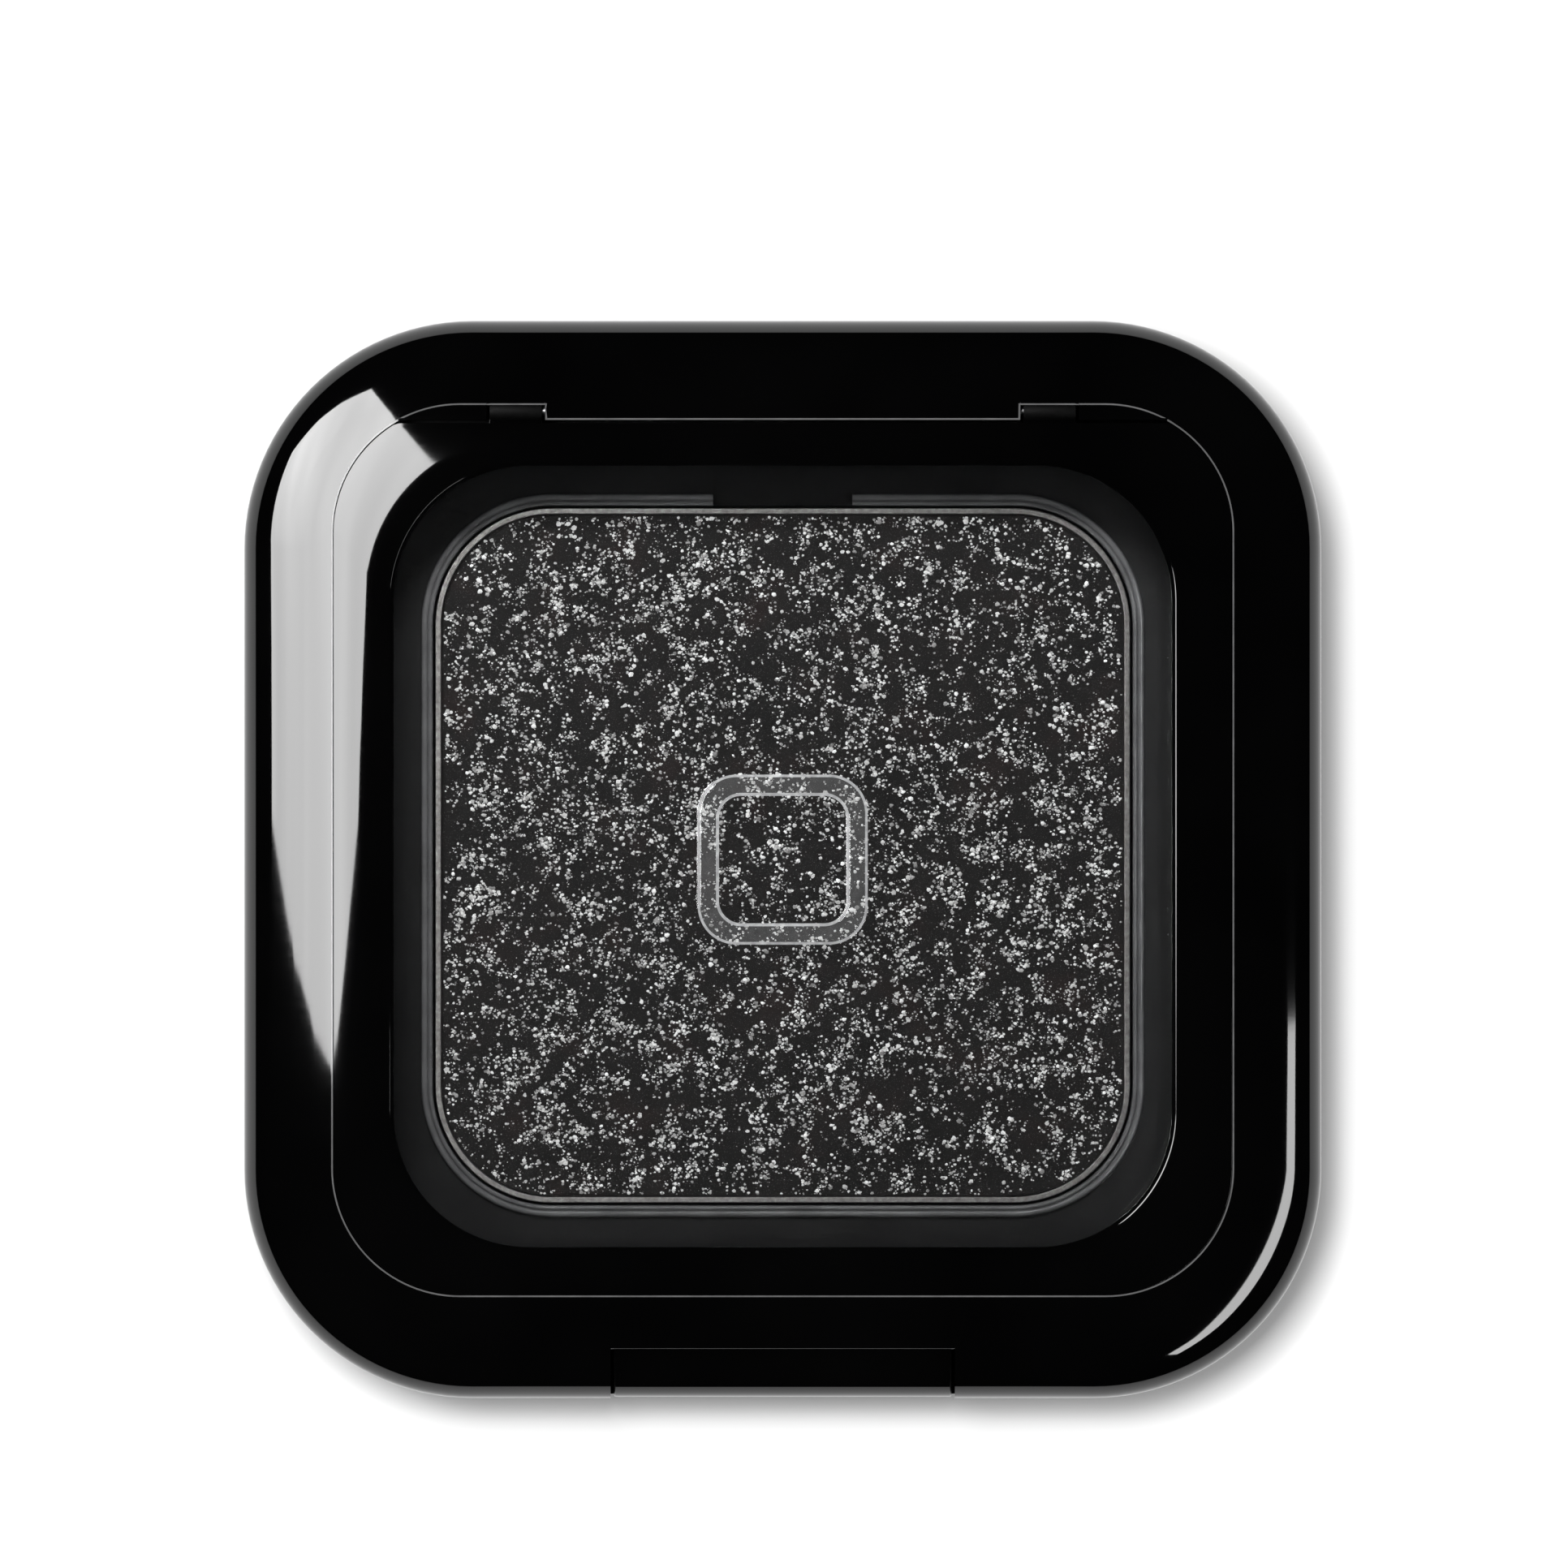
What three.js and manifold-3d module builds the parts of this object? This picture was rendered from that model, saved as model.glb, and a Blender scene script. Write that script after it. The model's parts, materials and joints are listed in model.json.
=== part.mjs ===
// A square single-pan eyeshadow compact with a clear-windowed lid set flush into its case.
// Millimetres, +Z up. The origin is the middle of the underside, the hinge is at +Y and the
// thumb piece that releases the lid is at -Y.
import * as THREE from 'three';
import { mergeVertices } from 'three/addons/utils/BufferGeometryUtils.js';
import Module from 'manifold-3d';

const wasm = await Module();
wasm.setup();

// ---- driving dimensions -------------------------------------------------------------------
const CASE_HALF = 21;
const CASE_CORNER = 8.9;
const CASE_HEIGHT = 12.5;

// The border is a shallow dome that starts FLAT_INSET inside the case's outline and ends in a
// tighter edge round.
const FLAT_INSET = 5.2;
const DOME_RADIUS = 10.45;
const EDGE_INSET = 0.95;
const EDGE_RADIUS = 1.6;
const WALL_TOP = 10.13;
const PARTING = 1.5;

const LID_CENTRE_Y = 0.365;
const LID_HALF_X = 17.415;
const LID_HALF_Y = 17.235;
const LID_CORNER = 4.85;
const LID_GAP = 0.12;
const LID_BOTTOM = 10.2;

const WELL_CENTRE_Y = 0.15;
const WINDOW_HALF_X = 15.13;
const WINDOW_HALF_Y = 15.195;
const WINDOW_CORNER = 5.25;
const WINDOW_CENTRE_Y = 0.125;
const PAN_HALF = 13.55;
const PAN_CORNER = 4.55;
const PAN_WALL = 0.22;
const PAN_FLOOR = 6.35;
const PAN_TOP = 9.55;
const DECK = 9.6;

const HINGE_Y = 17.46;
const HINGE_Z = 12.0;
const KNUCKLE_RADIUS = 0.37;
const PIN_RADIUS = 0.19;
const EAR_INNER = 9.37;
const EAR_OUTER = 11.4;
const EAR_PLAY = 0.13;
const PIN_INNER = 7.2;
const OPENING_REAR = 17.1;
const LID_REAR = 16.98;

const BUTTON_HALF = 6.58;
const BUTTON_SEAM_Y = -19.04;
const BUTTON_BOTTOM = 4.9;
const BUTTON_TOP = 11.28;
const BUTTON_PLAY = 0.12;
const STEM_HALF = 3.7;
const ARM_BOTTOM = 7.65;
const ARM_TOP = 8.6;
const TONGUE_HALF = 2.2;

const FAR = 30;
const CORNER_STEPS = 7;
const KNUCKLE_SIDES = 24;
const PIN_SIDES = 20;
const WELD_DISTANCE = 1e-5;

// ---- geometry helpers ---------------------------------------------------------------------

// A rounded rectangle: half sizes, corner radius and the Y of its centre. It can be cut off
// straight at a rear limit.
function outline(halfX, halfY, radius, centreY = 0) {
  return { halfX, halfY, radius, centreY, rearLimit: Infinity };
}

// The case's own outline moved inwards by a distance.
function caseOutline(inset) {
  const half = CASE_HALF - inset;
  return outline(half, half, CASE_CORNER - inset);
}

function lidOutline(inset) {
  return outline(LID_HALF_X - inset, LID_HALF_Y - inset, LID_CORNER - inset, LID_CENTRE_Y);
}

function windowOutline(inset) {
  const radius = WINDOW_CORNER - inset;
  return outline(WINDOW_HALF_X - inset, WINDOW_HALF_Y - inset, radius, WINDOW_CENTRE_Y);
}

function wellOutline(half, radius = PAN_CORNER + half - PAN_HALF) {
  return outline(half, half, radius, WELL_CENTRE_Y);
}

function outlinePoints({ halfX, halfY, radius, centreY, rearLimit }) {
  const shape = new THREE.Shape();
  const x = halfX - radius;
  const y = halfY - radius;
  const quarter = Math.PI / 2;
  shape.absarc(x, y, radius, 0, quarter);
  shape.absarc(-x, y, radius, quarter, 2 * quarter);
  shape.absarc(-x, -y, radius, 2 * quarter, 3 * quarter);
  shape.absarc(x, -y, radius, 3 * quarter, 4 * quarter);
  const points = [];
  for (const curve of shape.curves) {
    if (curve.isEllipseCurve) {
      points.push(...curve.getPoints(CORNER_STEPS));
    }
  }
  return points.map((p) => new THREE.Vector2(p.x, Math.min(p.y + centreY, rearLimit)));
}

// How far a point lies outside a rounded rectangle; negative inside it.
function distanceFrom({ halfX, halfY, radius, centreY }, x, y) {
  const qx = Math.abs(x) - (halfX - radius);
  const qy = Math.abs(y - centreY) - (halfY - radius);
  const outside = Math.hypot(Math.max(qx, 0), Math.max(qy, 0));
  return outside + Math.min(Math.max(qx, qy), 0) - radius;
}

// How far in from the case's outline a point of the border lies, stretched so that it is the
// border's full width all round the window, corners included.
function insetOf(x, y) {
  const inset = Math.max(-distanceFrom(caseOutline(0), x, y), 0);
  const fromWindow = Math.max(distanceFrom(windowOutline(0), x, y), 0);
  return ((CASE_HALF - WINDOW_HALF_X) * inset) / (inset + fromWindow);
}

// Height of the domed border at a point.
function domeHeight(x, y) {
  const inset = insetOf(x, y);
  if (inset >= FLAT_INSET) {
    return CASE_HEIGHT;
  }
  if (inset >= EDGE_INSET) {
    const run = FLAT_INSET - inset;
    return CASE_HEIGHT - DOME_RADIUS + Math.sqrt(DOME_RADIUS ** 2 - run ** 2);
  }
  const run = EDGE_RADIUS - inset;
  return WALL_TOP + Math.sqrt(Math.max(EDGE_RADIUS ** 2 - run ** 2, 0));
}

// Joins a list of [outline, height] rings into one closed body. A height can be a function of
// x and y. A closed loft is a frame whose last ring meets its first; an open one is capped.
function loft(rings, closed) {
  const positions = [];
  const index = [];
  let count = 0;
  for (const [ring, height] of rings) {
    const points = outlinePoints(ring);
    count = points.length;
    for (const p of points) {
      positions.push(p.x, p.y, typeof height === 'function' ? height(p.x, p.y) : height);
    }
  }
  const bands = closed ? rings.length : rings.length - 1;
  for (let band = 0; band < bands; band += 1) {
    const lower = band * count;
    const upper = ((band + 1) % rings.length) * count;
    for (let i = 0; i < count; i += 1) {
      const next = (i + 1) % count;
      index.push(lower + i, lower + next, upper + next);
      index.push(lower + i, upper + next, upper + i);
    }
  }
  if (!closed) {
    const last = (rings.length - 1) * count;
    for (let i = 1; i < count - 1; i += 1) {
      index.push(0, i + 1, i);
      index.push(last, last + i, last + i + 1);
    }
  }
  const geometry = new THREE.BufferGeometry();
  geometry.setAttribute('position', new THREE.Float32BufferAttribute(positions, 3));
  geometry.setIndex(index);
  return toSolid(geometry);
}

function toSolid(source) {
  let geometry = source;
  geometry.deleteAttribute('normal');
  geometry.deleteAttribute('uv');
  geometry = mergeVertices(geometry, WELD_DISTANCE);
  const vertProperties = new Float32Array(geometry.attributes.position.array);
  const triVerts = new Uint32Array(geometry.index.array);
  return new wasm.Manifold(new wasm.Mesh({ numProp: 3, vertProperties, triVerts }));
}

function toGeometry(solid) {
  const mesh = solid.getMesh();
  const geometry = new THREE.BufferGeometry();
  geometry.setAttribute('position', new THREE.BufferAttribute(mesh.vertProperties, 3));
  geometry.setIndex(new THREE.BufferAttribute(mesh.triVerts, 1));
  geometry.computeVertexNormals();
  return geometry;
}

function box(x0, x1, y0, y1, z0, z1) {
  const geometry = new THREE.BoxGeometry(x1 - x0, y1 - y0, z1 - z0);
  geometry.translate((x0 + x1) / 2, (y0 + y1) / 2, (z0 + z1) / 2);
  return toSolid(geometry);
}

// A polygon of [y, z] points drawn out along X.
function prism(points, x0, x1) {
  const shape = new THREE.Shape(points.map(([y, z]) => new THREE.Vector2(y, z)));
  const geometry = new THREE.ExtrudeGeometry(shape, { depth: x1 - x0, bevelEnabled: false });
  const alongX = new THREE.Matrix4().set(0, 0, 1, x0, 1, 0, 0, 0, 0, 1, 0, 0, 0, 0, 0, 1);
  geometry.applyMatrix4(alongX);
  return toSolid(geometry);
}

// A rod about the hinge line.
function hingeRod(radius, x0, x1, sides) {
  const geometry = new THREE.CylinderGeometry(radius, radius, x1 - x0, sides);
  geometry.rotateZ(Math.PI / 2);
  geometry.translate((x0 + x1) / 2, HINGE_Y, HINGE_Z);
  return toSolid(geometry);
}

// Does the same to both hinge sides: `make` gets the lower and upper X of the right-hand one.
function bothSides(make, inner, outer) {
  return make(inner, outer).add(make(-outer, -inner));
}

// ---- materials ----------------------------------------------------------------------------
const glossBlack = new THREE.MeshStandardMaterial({ color: 0x050505, roughness: 0.08 });
const satinBlack = new THREE.MeshStandardMaterial({ color: 0x121213, roughness: 0.45 });
const clearPlastic = new THREE.MeshStandardMaterial({
  color: 0xf4f6f6,
  roughness: 0.05,
  transparent: true,
  opacity: 0.25,
});
const aluminium = new THREE.MeshStandardMaterial({ color: 0xb9bbbd, roughness: 0.3, metalness: 1 });
const steel = new THREE.MeshStandardMaterial({ color: 0x9a9c9e, roughness: 0.35, metalness: 1 });
const powder = new THREE.MeshStandardMaterial({ color: 0x2b2a2a, roughness: 0.8, metalness: 0.2 });
const adhesive = new THREE.MeshStandardMaterial({ color: 0xd8d2bd, roughness: 0.6 });
const paper = new THREE.MeshStandardMaterial({ color: 0x1b1b1c, roughness: 0.55 });

// ---- case ---------------------------------------------------------------------------------

// The border and side walls: a downward-open channel around the lid opening. A ledge along the
// rear of the opening carries the hinge.
function frameShell() {
  const innerWallThickness = 0.7;
  const sideWallThickness = 1.25;
  const channelTop = 11.0;
  const shoulderHeight = 1.0;
  const shoulderInset = 1.7;
  const innerWallBottom = 6.0;
  const ledgeBottom = 10.4;
  const ledgeStep = 0.01;
  const footChamfer = 0.15;
  const domeInsets = [2.7, 2.0, 1.4, EDGE_INSET, 0.6, 0.3, 0.1];
  const opening = lidOutline(-LID_GAP);
  const openingEdge = { ...opening, rearLimit: OPENING_REAR };
  const innerWall = lidOutline(-LID_GAP - innerWallThickness);
  const wallInside = caseOutline(sideWallThickness);
  const rings = [[openingEdge, domeHeight]];
  for (const inset of domeInsets) {
    rings.push([caseOutline(inset), domeHeight]);
  }
  rings.push([caseOutline(0), WALL_TOP]);
  rings.push([caseOutline(0), PARTING + footChamfer]);
  rings.push([caseOutline(footChamfer), PARTING]);
  rings.push([wallInside, PARTING]);
  rings.push([wallInside, channelTop - shoulderHeight]);
  rings.push([caseOutline(shoulderInset), channelTop]);
  rings.push([innerWall, channelTop]);
  rings.push([innerWall, innerWallBottom]);
  rings.push([opening, innerWallBottom]);
  rings.push([opening, ledgeBottom - ledgeStep]);
  rings.push([openingEdge, ledgeBottom]);
  return loft(rings.reverse(), true);
}

function makeOuterFrame() {
  // Slots and bores for the lid's ears and the hinge pins.
  const slotInner = EAR_INNER - EAR_PLAY;
  const slotOuter = EAR_OUTER + EAR_PLAY;
  const slotFront = OPENING_REAR - 1;
  const slotRear = LID_CENTRE_Y + LID_HALF_Y + LID_GAP;
  const slotBottom = HINGE_Z - 2;
  const pocketRadius = KNUCKLE_RADIUS + 0.06;
  const boreRadius = PIN_RADIUS + 0.03;
  const boreOverrun = 0.1;
  const pocket = (x0, x1) => hingeRod(pocketRadius, x0, x1, KNUCKLE_SIDES)
    .add(box(x0, x1, slotFront, HINGE_Y, slotBottom, FAR))
    .add(box(x0, x1, slotFront, slotRear, HINGE_Z, FAR));
  const bore = (x0, x1) => hingeRod(boreRadius, x0, x1, PIN_SIDES);
  // The opening for the thumb piece, the relief behind it and the window for its stem.
  const holeHalf = BUTTON_HALF + BUTTON_PLAY;
  const holeBottom = BUTTON_BOTTOM - 0.1;
  const reliefTop = BUTTON_TOP + BUTTON_PLAY;
  const reliefBottom = 6;
  const reliefBack = -18;
  const buttonHole = box(-holeHalf, holeHalf, -FAR, BUTTON_SEAM_Y, holeBottom, FAR);
  const underSkin = box(-holeHalf, holeHalf, BUTTON_SEAM_Y - 1, reliefBack, reliefBottom, reliefTop);
  const windowFront = -18.5;
  const windowBack = -16;
  const stemWindow = box(
    -STEM_HALF,
    STEM_HALF,
    windowFront,
    windowBack,
    ARM_BOTTOM - 0.15,
    ARM_TOP + 0.2,
  );
  return frameShell()
    .subtract(bothSides(pocket, slotInner, slotOuter))
    .subtract(bothSides(bore, PIN_INNER - boreOverrun, slotInner + boreOverrun))
    .subtract(buttonHole)
    .subtract(underSkin)
    .subtract(stemWindow);
}

// The underside: a foot ring around a shallow label recess, and a rib that plugs the frame.
function makeBottomCover() {
  const recessHalf = 15;
  const recessCorner = 4;
  const recessDepth = 0.3;
  const recessDraft = 0.05;
  const flangeTop = PARTING - 0.1;
  const ribTop = 3.0;
  const ribOuter = 1.4;
  const ribDraft = 0.05;
  const ribInner = 2.1;
  const recessTopHalf = recessHalf - recessDraft;
  // The rounded foot: [inset from the case's outline, height].
  const footProfile = [[1.6, 0], [1.0, 0.12], [0.5, 0.5], [0.25, 1.0], [0.2, flangeTop]];
  const rings = [
    [outline(recessTopHalf, recessTopHalf, recessCorner - recessDraft), recessDepth],
    [outline(recessHalf, recessHalf, recessCorner), 0],
    ...footProfile.map(([inset, height]) => [caseOutline(inset), height]),
    [caseOutline(ribOuter), flangeTop],
    [caseOutline(ribOuter + ribDraft), ribTop],
    [caseOutline(ribInner), ribTop],
    [caseOutline(ribInner), PARTING],
  ];
  return loft(rings, false);
}

// The satin deck around the pan, its bead, the well below it and the skirt it stands on.
function makeInnerTray() {
  const wellHalf = PAN_HALF + 0.1;
  const wellFloorTop = 6.15;
  const wellOuterHalf = 14.3;
  const wellBottom = 5.4;
  const deckUnderside = DECK - 0.8;
  const rimTop = LID_BOTTOM - 0.1;
  const skirtOuter = 0.05;
  const skirtInner = 0.75;
  const deckEdge = 0.85;
  const skirtBottom = PARTING + 0.1;
  // The bead's round section: [distance out from the pan, height above the deck].
  const beadProfile = [[0.1, 0.05], [0.16, 0.22], [0.27, 0.28], [0.37, 0.2], [0.43, 0]];
  const rings = [
    [wellOutline(wellHalf), wellFloorTop],
    ...beadProfile.map(([out, rise]) => [wellOutline(PAN_HALF + out), DECK + rise]),
    [lidOutline(deckEdge), DECK],
    [lidOutline(skirtInner), rimTop],
    [lidOutline(skirtOuter), rimTop],
    [lidOutline(skirtOuter), skirtBottom],
    [lidOutline(skirtInner), skirtBottom],
    [lidOutline(skirtInner), deckUnderside],
    [wellOutline(wellOuterHalf), deckUnderside],
    [wellOutline(wellOuterHalf), wellBottom],
  ];
  const notchHalf = 2.72;
  const notchFront = 13.5;
  const notchRear = 16.3;
  const notchDepth = 0.35;
  const slotBottom = 5.2;
  const tongueSlotHalf = TONGUE_HALF + 0.3;
  const tongueSlotBack = -15.3;
  const stemSlotBack = -14.3;
  const pryNotch = box(-notchHalf, notchHalf, notchFront, notchRear, DECK - notchDepth, FAR);
  const tongueSlot = box(-tongueSlotHalf, tongueSlotHalf, -FAR, tongueSlotBack, slotBottom, FAR);
  const stemSlot = box(-STEM_HALF, STEM_HALF, -FAR, stemSlotBack, slotBottom, deckUnderside);
  return loft(rings.reverse(), false)
    .subtract(pryNotch)
    .subtract(tongueSlot)
    .subtract(stemSlot);
}

// ---- pan and powder -----------------------------------------------------------------------

function makePan() {
  const inside = PAN_HALF - PAN_WALL;
  const footRound = 0.3;
  const lipRound = 0.06;
  const floorThickness = 0.25;
  const rings = [
    [wellOutline(PAN_HALF - footRound), PAN_FLOOR],
    [wellOutline(PAN_HALF), PAN_FLOOR + footRound],
    [wellOutline(PAN_HALF), PAN_TOP - lipRound],
    [wellOutline(PAN_HALF - lipRound), PAN_TOP],
    [wellOutline(inside + lipRound), PAN_TOP],
    [wellOutline(inside), PAN_TOP - lipRound],
    [wellOutline(inside), PAN_FLOOR + floorThickness],
  ];
  return loft(rings, false);
}

function makePowderCake() {
  const half = PAN_HALF - PAN_WALL - 0.05;
  const bottom = PAN_FLOOR + 0.32;
  const top = PAN_TOP - 0.2;
  const shoulder = 0.15;
  const rings = [
    [wellOutline(half), bottom],
    [wellOutline(half), top - shoulder],
    [wellOutline(half - shoulder), top],
  ];
  return loft(rings, false);
}

function makeAdhesivePad() {
  const radius = 8;
  const thickness = 0.1;
  const sides = 32;
  const geometry = new THREE.CylinderGeometry(radius, radius, thickness, sides);
  geometry.rotateX(Math.PI / 2);
  geometry.translate(0, WELL_CENTRE_Y, PAN_FLOOR - thickness);
  return toSolid(geometry);
}

function makeLabel() {
  const half = 14.5;
  const corner = 3.5;
  const bottom = 0.08;
  const top = 0.22;
  const shape = outline(half, half, corner);
  return loft([[shape, bottom], [shape, top]], false);
}

// ---- lid ----------------------------------------------------------------------------------

function lidRing() {
  const lipBottom = 11.4;
  const windowRelief = 0.15;
  const sideDraft = 0.1;
  const rabbet = windowOutline(-0.82);
  const domeInsets = [1.3, 0.6, 0];
  const rings = [
    [windowOutline(0), lipBottom],
    [windowOutline(0), CASE_HEIGHT - windowRelief],
    [windowOutline(-windowRelief), domeHeight],
    ...domeInsets.map((inset) => [lidOutline(inset), domeHeight]),
    [lidOutline(sideDraft), LID_BOTTOM],
    [rabbet, LID_BOTTOM],
    [rabbet, lipBottom],
  ];
  return loft(rings.reverse(), true);
}

// An ear: a knuckle around the hinge line on a short arm from the lid's rear edge.
function ear(x0, x1) {
  const armFront = LID_REAR - 0.3;
  const armTop = HINGE_Z + 0.1;
  const arm = box(x0, x1, armFront, HINGE_Y, HINGE_Z - KNUCKLE_RADIUS, armTop);
  return hingeRod(KNUCKLE_RADIUS, x0, x1, KNUCKLE_SIDES).add(arm);
}

// The catch: a tongue under the front edge with a nose that the thumb piece's bar holds down.
function catchTongue() {
  const rootTop = LID_BOTTOM + 0.3;
  const rootBottom = LID_BOTTOM - 0.3;
  const front = -16.7;
  const back = -15.98;
  // [Y, Z] of the tapering front face, the nose and the ramp under it.
  const section = [
    [front, rootTop],
    [front, rootBottom],
    [-16.48, 6.9],
    [-16.35, 6.6],
    [-16.0, 6.6],
    [-15.6, 6.95],
    [-15.6, 7.25],
    [back, 7.45],
    [back, rootTop],
  ];
  return prism(section, -TONGUE_HALF, TONGUE_HALF);
}

function makeLidFrame() {
  const lowerRear = LID_REAR - 0.14;
  const trimTop = CASE_HEIGHT - 0.1;
  const boreRadius = PIN_RADIUS + 0.05;
  const boreOverrun = 1;
  const trimSection = [
    [LID_REAR, FAR],
    [LID_REAR, trimTop],
    [lowerRear, HINGE_Z],
    [lowerRear, 0],
    [FAR, 0],
    [FAR, FAR],
  ];
  const bore = (x0, x1) => hingeRod(boreRadius, x0, x1, PIN_SIDES);
  return lidRing()
    .subtract(prism(trimSection, -FAR, FAR))
    .add(bothSides(ear, EAR_INNER, EAR_OUTER))
    .subtract(bothSides(bore, EAR_INNER - boreOverrun, EAR_OUTER + boreOverrun))
    .add(catchTongue());
}

// The clear window: a plate with a flange behind the lid's lip and a plain raised emblem ring.
function makeWindow() {
  const faceTop = CASE_HEIGHT - 0.2;
  const flangeWidth = 0.72;
  const flangeBottom = LID_BOTTOM + 0.25;
  const flangeTop = 11.3;
  const edgeGap = 0.1;
  const edgeChamfer = 0.12;
  const rings = [
    [windowOutline(-flangeWidth), flangeBottom],
    [windowOutline(-flangeWidth), flangeTop],
    [windowOutline(edgeGap), flangeTop],
    [windowOutline(edgeGap), faceTop - edgeChamfer],
    [windowOutline(edgeGap + edgeChamfer), faceTop],
  ];
  const emblemRise = 0.12;
  const emblemRoot = 0.2;
  const outer = outline(3.3, 3.3, 1.5);
  const inner = outline(2.5, 2.5, 0.9);
  const emblem = [
    [outer, faceTop - emblemRoot],
    [outer, faceTop + emblemRise],
    [inner, faceTop + emblemRise],
    [inner, faceTop - emblemRoot],
  ];
  return loft(rings, false).add(loft(emblem, true));
}

// ---- release ------------------------------------------------------------------------------

// The thumb piece in the front wall, with two arms that carry its catch bar around the tongue.
function makeReleaseButton() {
  const skinBack = -19.8;
  const lipBack = -18.7;
  const lipThickness = 0.8;
  const skinTop = BUTTON_TOP - 1.2;
  // [Y, Z] of the outer face, which follows the case's wall and edge round.
  const outerFace = [
    [-20.97, BUTTON_BOTTOM],
    [-20.97, 9.5],
    [-20.87, 10.0],
    [-20.57, 10.45],
    [-20.1, 10.8],
    [-19.5, 11.1],
    [-18.95, BUTTON_TOP],
  ];
  const section = [
    ...outerFace,
    [lipBack, BUTTON_TOP],
    [lipBack, BUTTON_TOP - lipThickness],
    [skinBack, skinTop],
    [skinBack, BUTTON_BOTTOM],
  ];
  const armInner = 2.7;
  const armOuter = 3.5;
  const armFront = skinBack - 0.1;
  const barFront = -15.5;
  const barBack = -15.1;
  const arm = (x0, x1) => box(x0, x1, armFront, barBack, ARM_BOTTOM, ARM_TOP);
  const bar = box(-armOuter, armOuter, barFront, barBack, ARM_BOTTOM, ARM_TOP);
  return prism(section, -BUTTON_HALF, BUTTON_HALF)
    .add(bothSides(arm, armInner, armOuter))
    .add(bar);
}

// A bowed steel strip between the case's inner wall and the back of the thumb piece.
function makeButtonSpring() {
  const halfLength = 4.6;
  const endY = -17.8;
  const bow = 1.8;
  const thickness = 0.15;
  const width = 1.4;
  const bottom = 5.4;
  const steps = 12;
  const front = new THREE.QuadraticBezierCurve(
    new THREE.Vector2(-halfLength, endY),
    new THREE.Vector2(0, endY - 2 * bow),
    new THREE.Vector2(halfLength, endY),
  ).getPoints(steps);
  const back = front.map((p) => new THREE.Vector2(p.x, p.y + thickness)).reverse();
  const shape = new THREE.Shape([...front, ...back]);
  const geometry = new THREE.ExtrudeGeometry(shape, { depth: width, bevelEnabled: false });
  geometry.translate(0, 0, bottom);
  return toSolid(geometry);
}

// ---- assembly -----------------------------------------------------------------------------
const eyeshadowCompact = new THREE.Group();

function addPart(name, solid, material) {
  const mesh = new THREE.Mesh(toGeometry(solid), material);
  mesh.name = name;
  eyeshadowCompact.add(mesh);
}

addPart('outer_frame', makeOuterFrame(), glossBlack);
addPart('bottom_cover', makeBottomCover(), satinBlack);
addPart('inner_tray', makeInnerTray(), satinBlack);
addPart('powder_pan', makePan(), aluminium);
addPart('powder_cake', makePowderCake(), powder);
addPart('adhesive_pad', makeAdhesivePad(), adhesive);
addPart('lid_frame', makeLidFrame(), glossBlack);
addPart('lid_window', makeWindow(), clearPlastic);
addPart('hinge_pin_right', hingeRod(PIN_RADIUS, PIN_INNER, EAR_OUTER, PIN_SIDES), steel);
addPart('hinge_pin_left', hingeRod(PIN_RADIUS, -EAR_OUTER, -PIN_INNER, PIN_SIDES), steel);
addPart('release_button', makeReleaseButton(), glossBlack);
addPart('button_spring', makeButtonSpring(), steel);
addPart('bottom_label', makeLabel(), paper);

export default eyeshadowCompact;
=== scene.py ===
import json
import math

import bmesh
import bpy
import numpy as np
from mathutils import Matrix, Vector, noise


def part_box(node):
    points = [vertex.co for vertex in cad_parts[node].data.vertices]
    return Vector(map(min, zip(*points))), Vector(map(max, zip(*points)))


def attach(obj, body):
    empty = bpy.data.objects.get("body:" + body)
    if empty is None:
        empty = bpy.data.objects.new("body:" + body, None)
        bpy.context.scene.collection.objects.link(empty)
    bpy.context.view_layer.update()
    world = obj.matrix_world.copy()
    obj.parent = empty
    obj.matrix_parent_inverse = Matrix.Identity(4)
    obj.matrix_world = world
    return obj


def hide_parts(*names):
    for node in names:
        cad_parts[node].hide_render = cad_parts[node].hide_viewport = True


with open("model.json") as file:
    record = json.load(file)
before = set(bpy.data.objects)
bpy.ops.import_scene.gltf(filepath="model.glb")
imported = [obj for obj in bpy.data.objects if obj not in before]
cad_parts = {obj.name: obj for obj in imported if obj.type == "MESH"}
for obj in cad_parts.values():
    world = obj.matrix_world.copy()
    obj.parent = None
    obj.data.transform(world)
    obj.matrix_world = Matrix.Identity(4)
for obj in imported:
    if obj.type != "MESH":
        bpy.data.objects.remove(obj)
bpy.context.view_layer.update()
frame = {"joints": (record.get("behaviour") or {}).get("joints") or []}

MM = 0.001


# ---- sizes, from the frame where it has them ---------------------------------------------------

def box_mm(node):
    """Lowest and highest corner of a CAD node, in millimetres."""
    low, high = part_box(node)
    return [c / MM for c in low], [c / MM for c in high]


FRAME_LOW, FRAME_HIGH = box_mm("outer_frame")
LID_LOW, LID_HIGH = box_mm("lid_frame")
WINDOW_LOW, WINDOW_HIGH = box_mm("lid_window")
TRAY_LOW, TRAY_HIGH = box_mm("inner_tray")
PAN_LOW, PAN_HIGH = box_mm("powder_pan")
CAKE_LOW, CAKE_HIGH = box_mm("powder_cake")
COVER_HIGH = box_mm("bottom_cover")[1]
BUTTON_LOW, BUTTON_HIGH = box_mm("release_button")
LABEL_LOW, LABEL_HIGH = box_mm("bottom_label")

CASE_HALF = FRAME_HIGH[0]
CASE_HEIGHT = LID_HIGH[2]
CASE_CORNER = 8.9
PARTING = FRAME_LOW[2]

# The border: a shallow dome that ends in a tighter round.
FLAT_INSET = 5.2
DOME_RADIUS = 10.45
EDGE_INSET = 0.95
EDGE_RADIUS = 1.6
WALL_TOP = 10.1346

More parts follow.
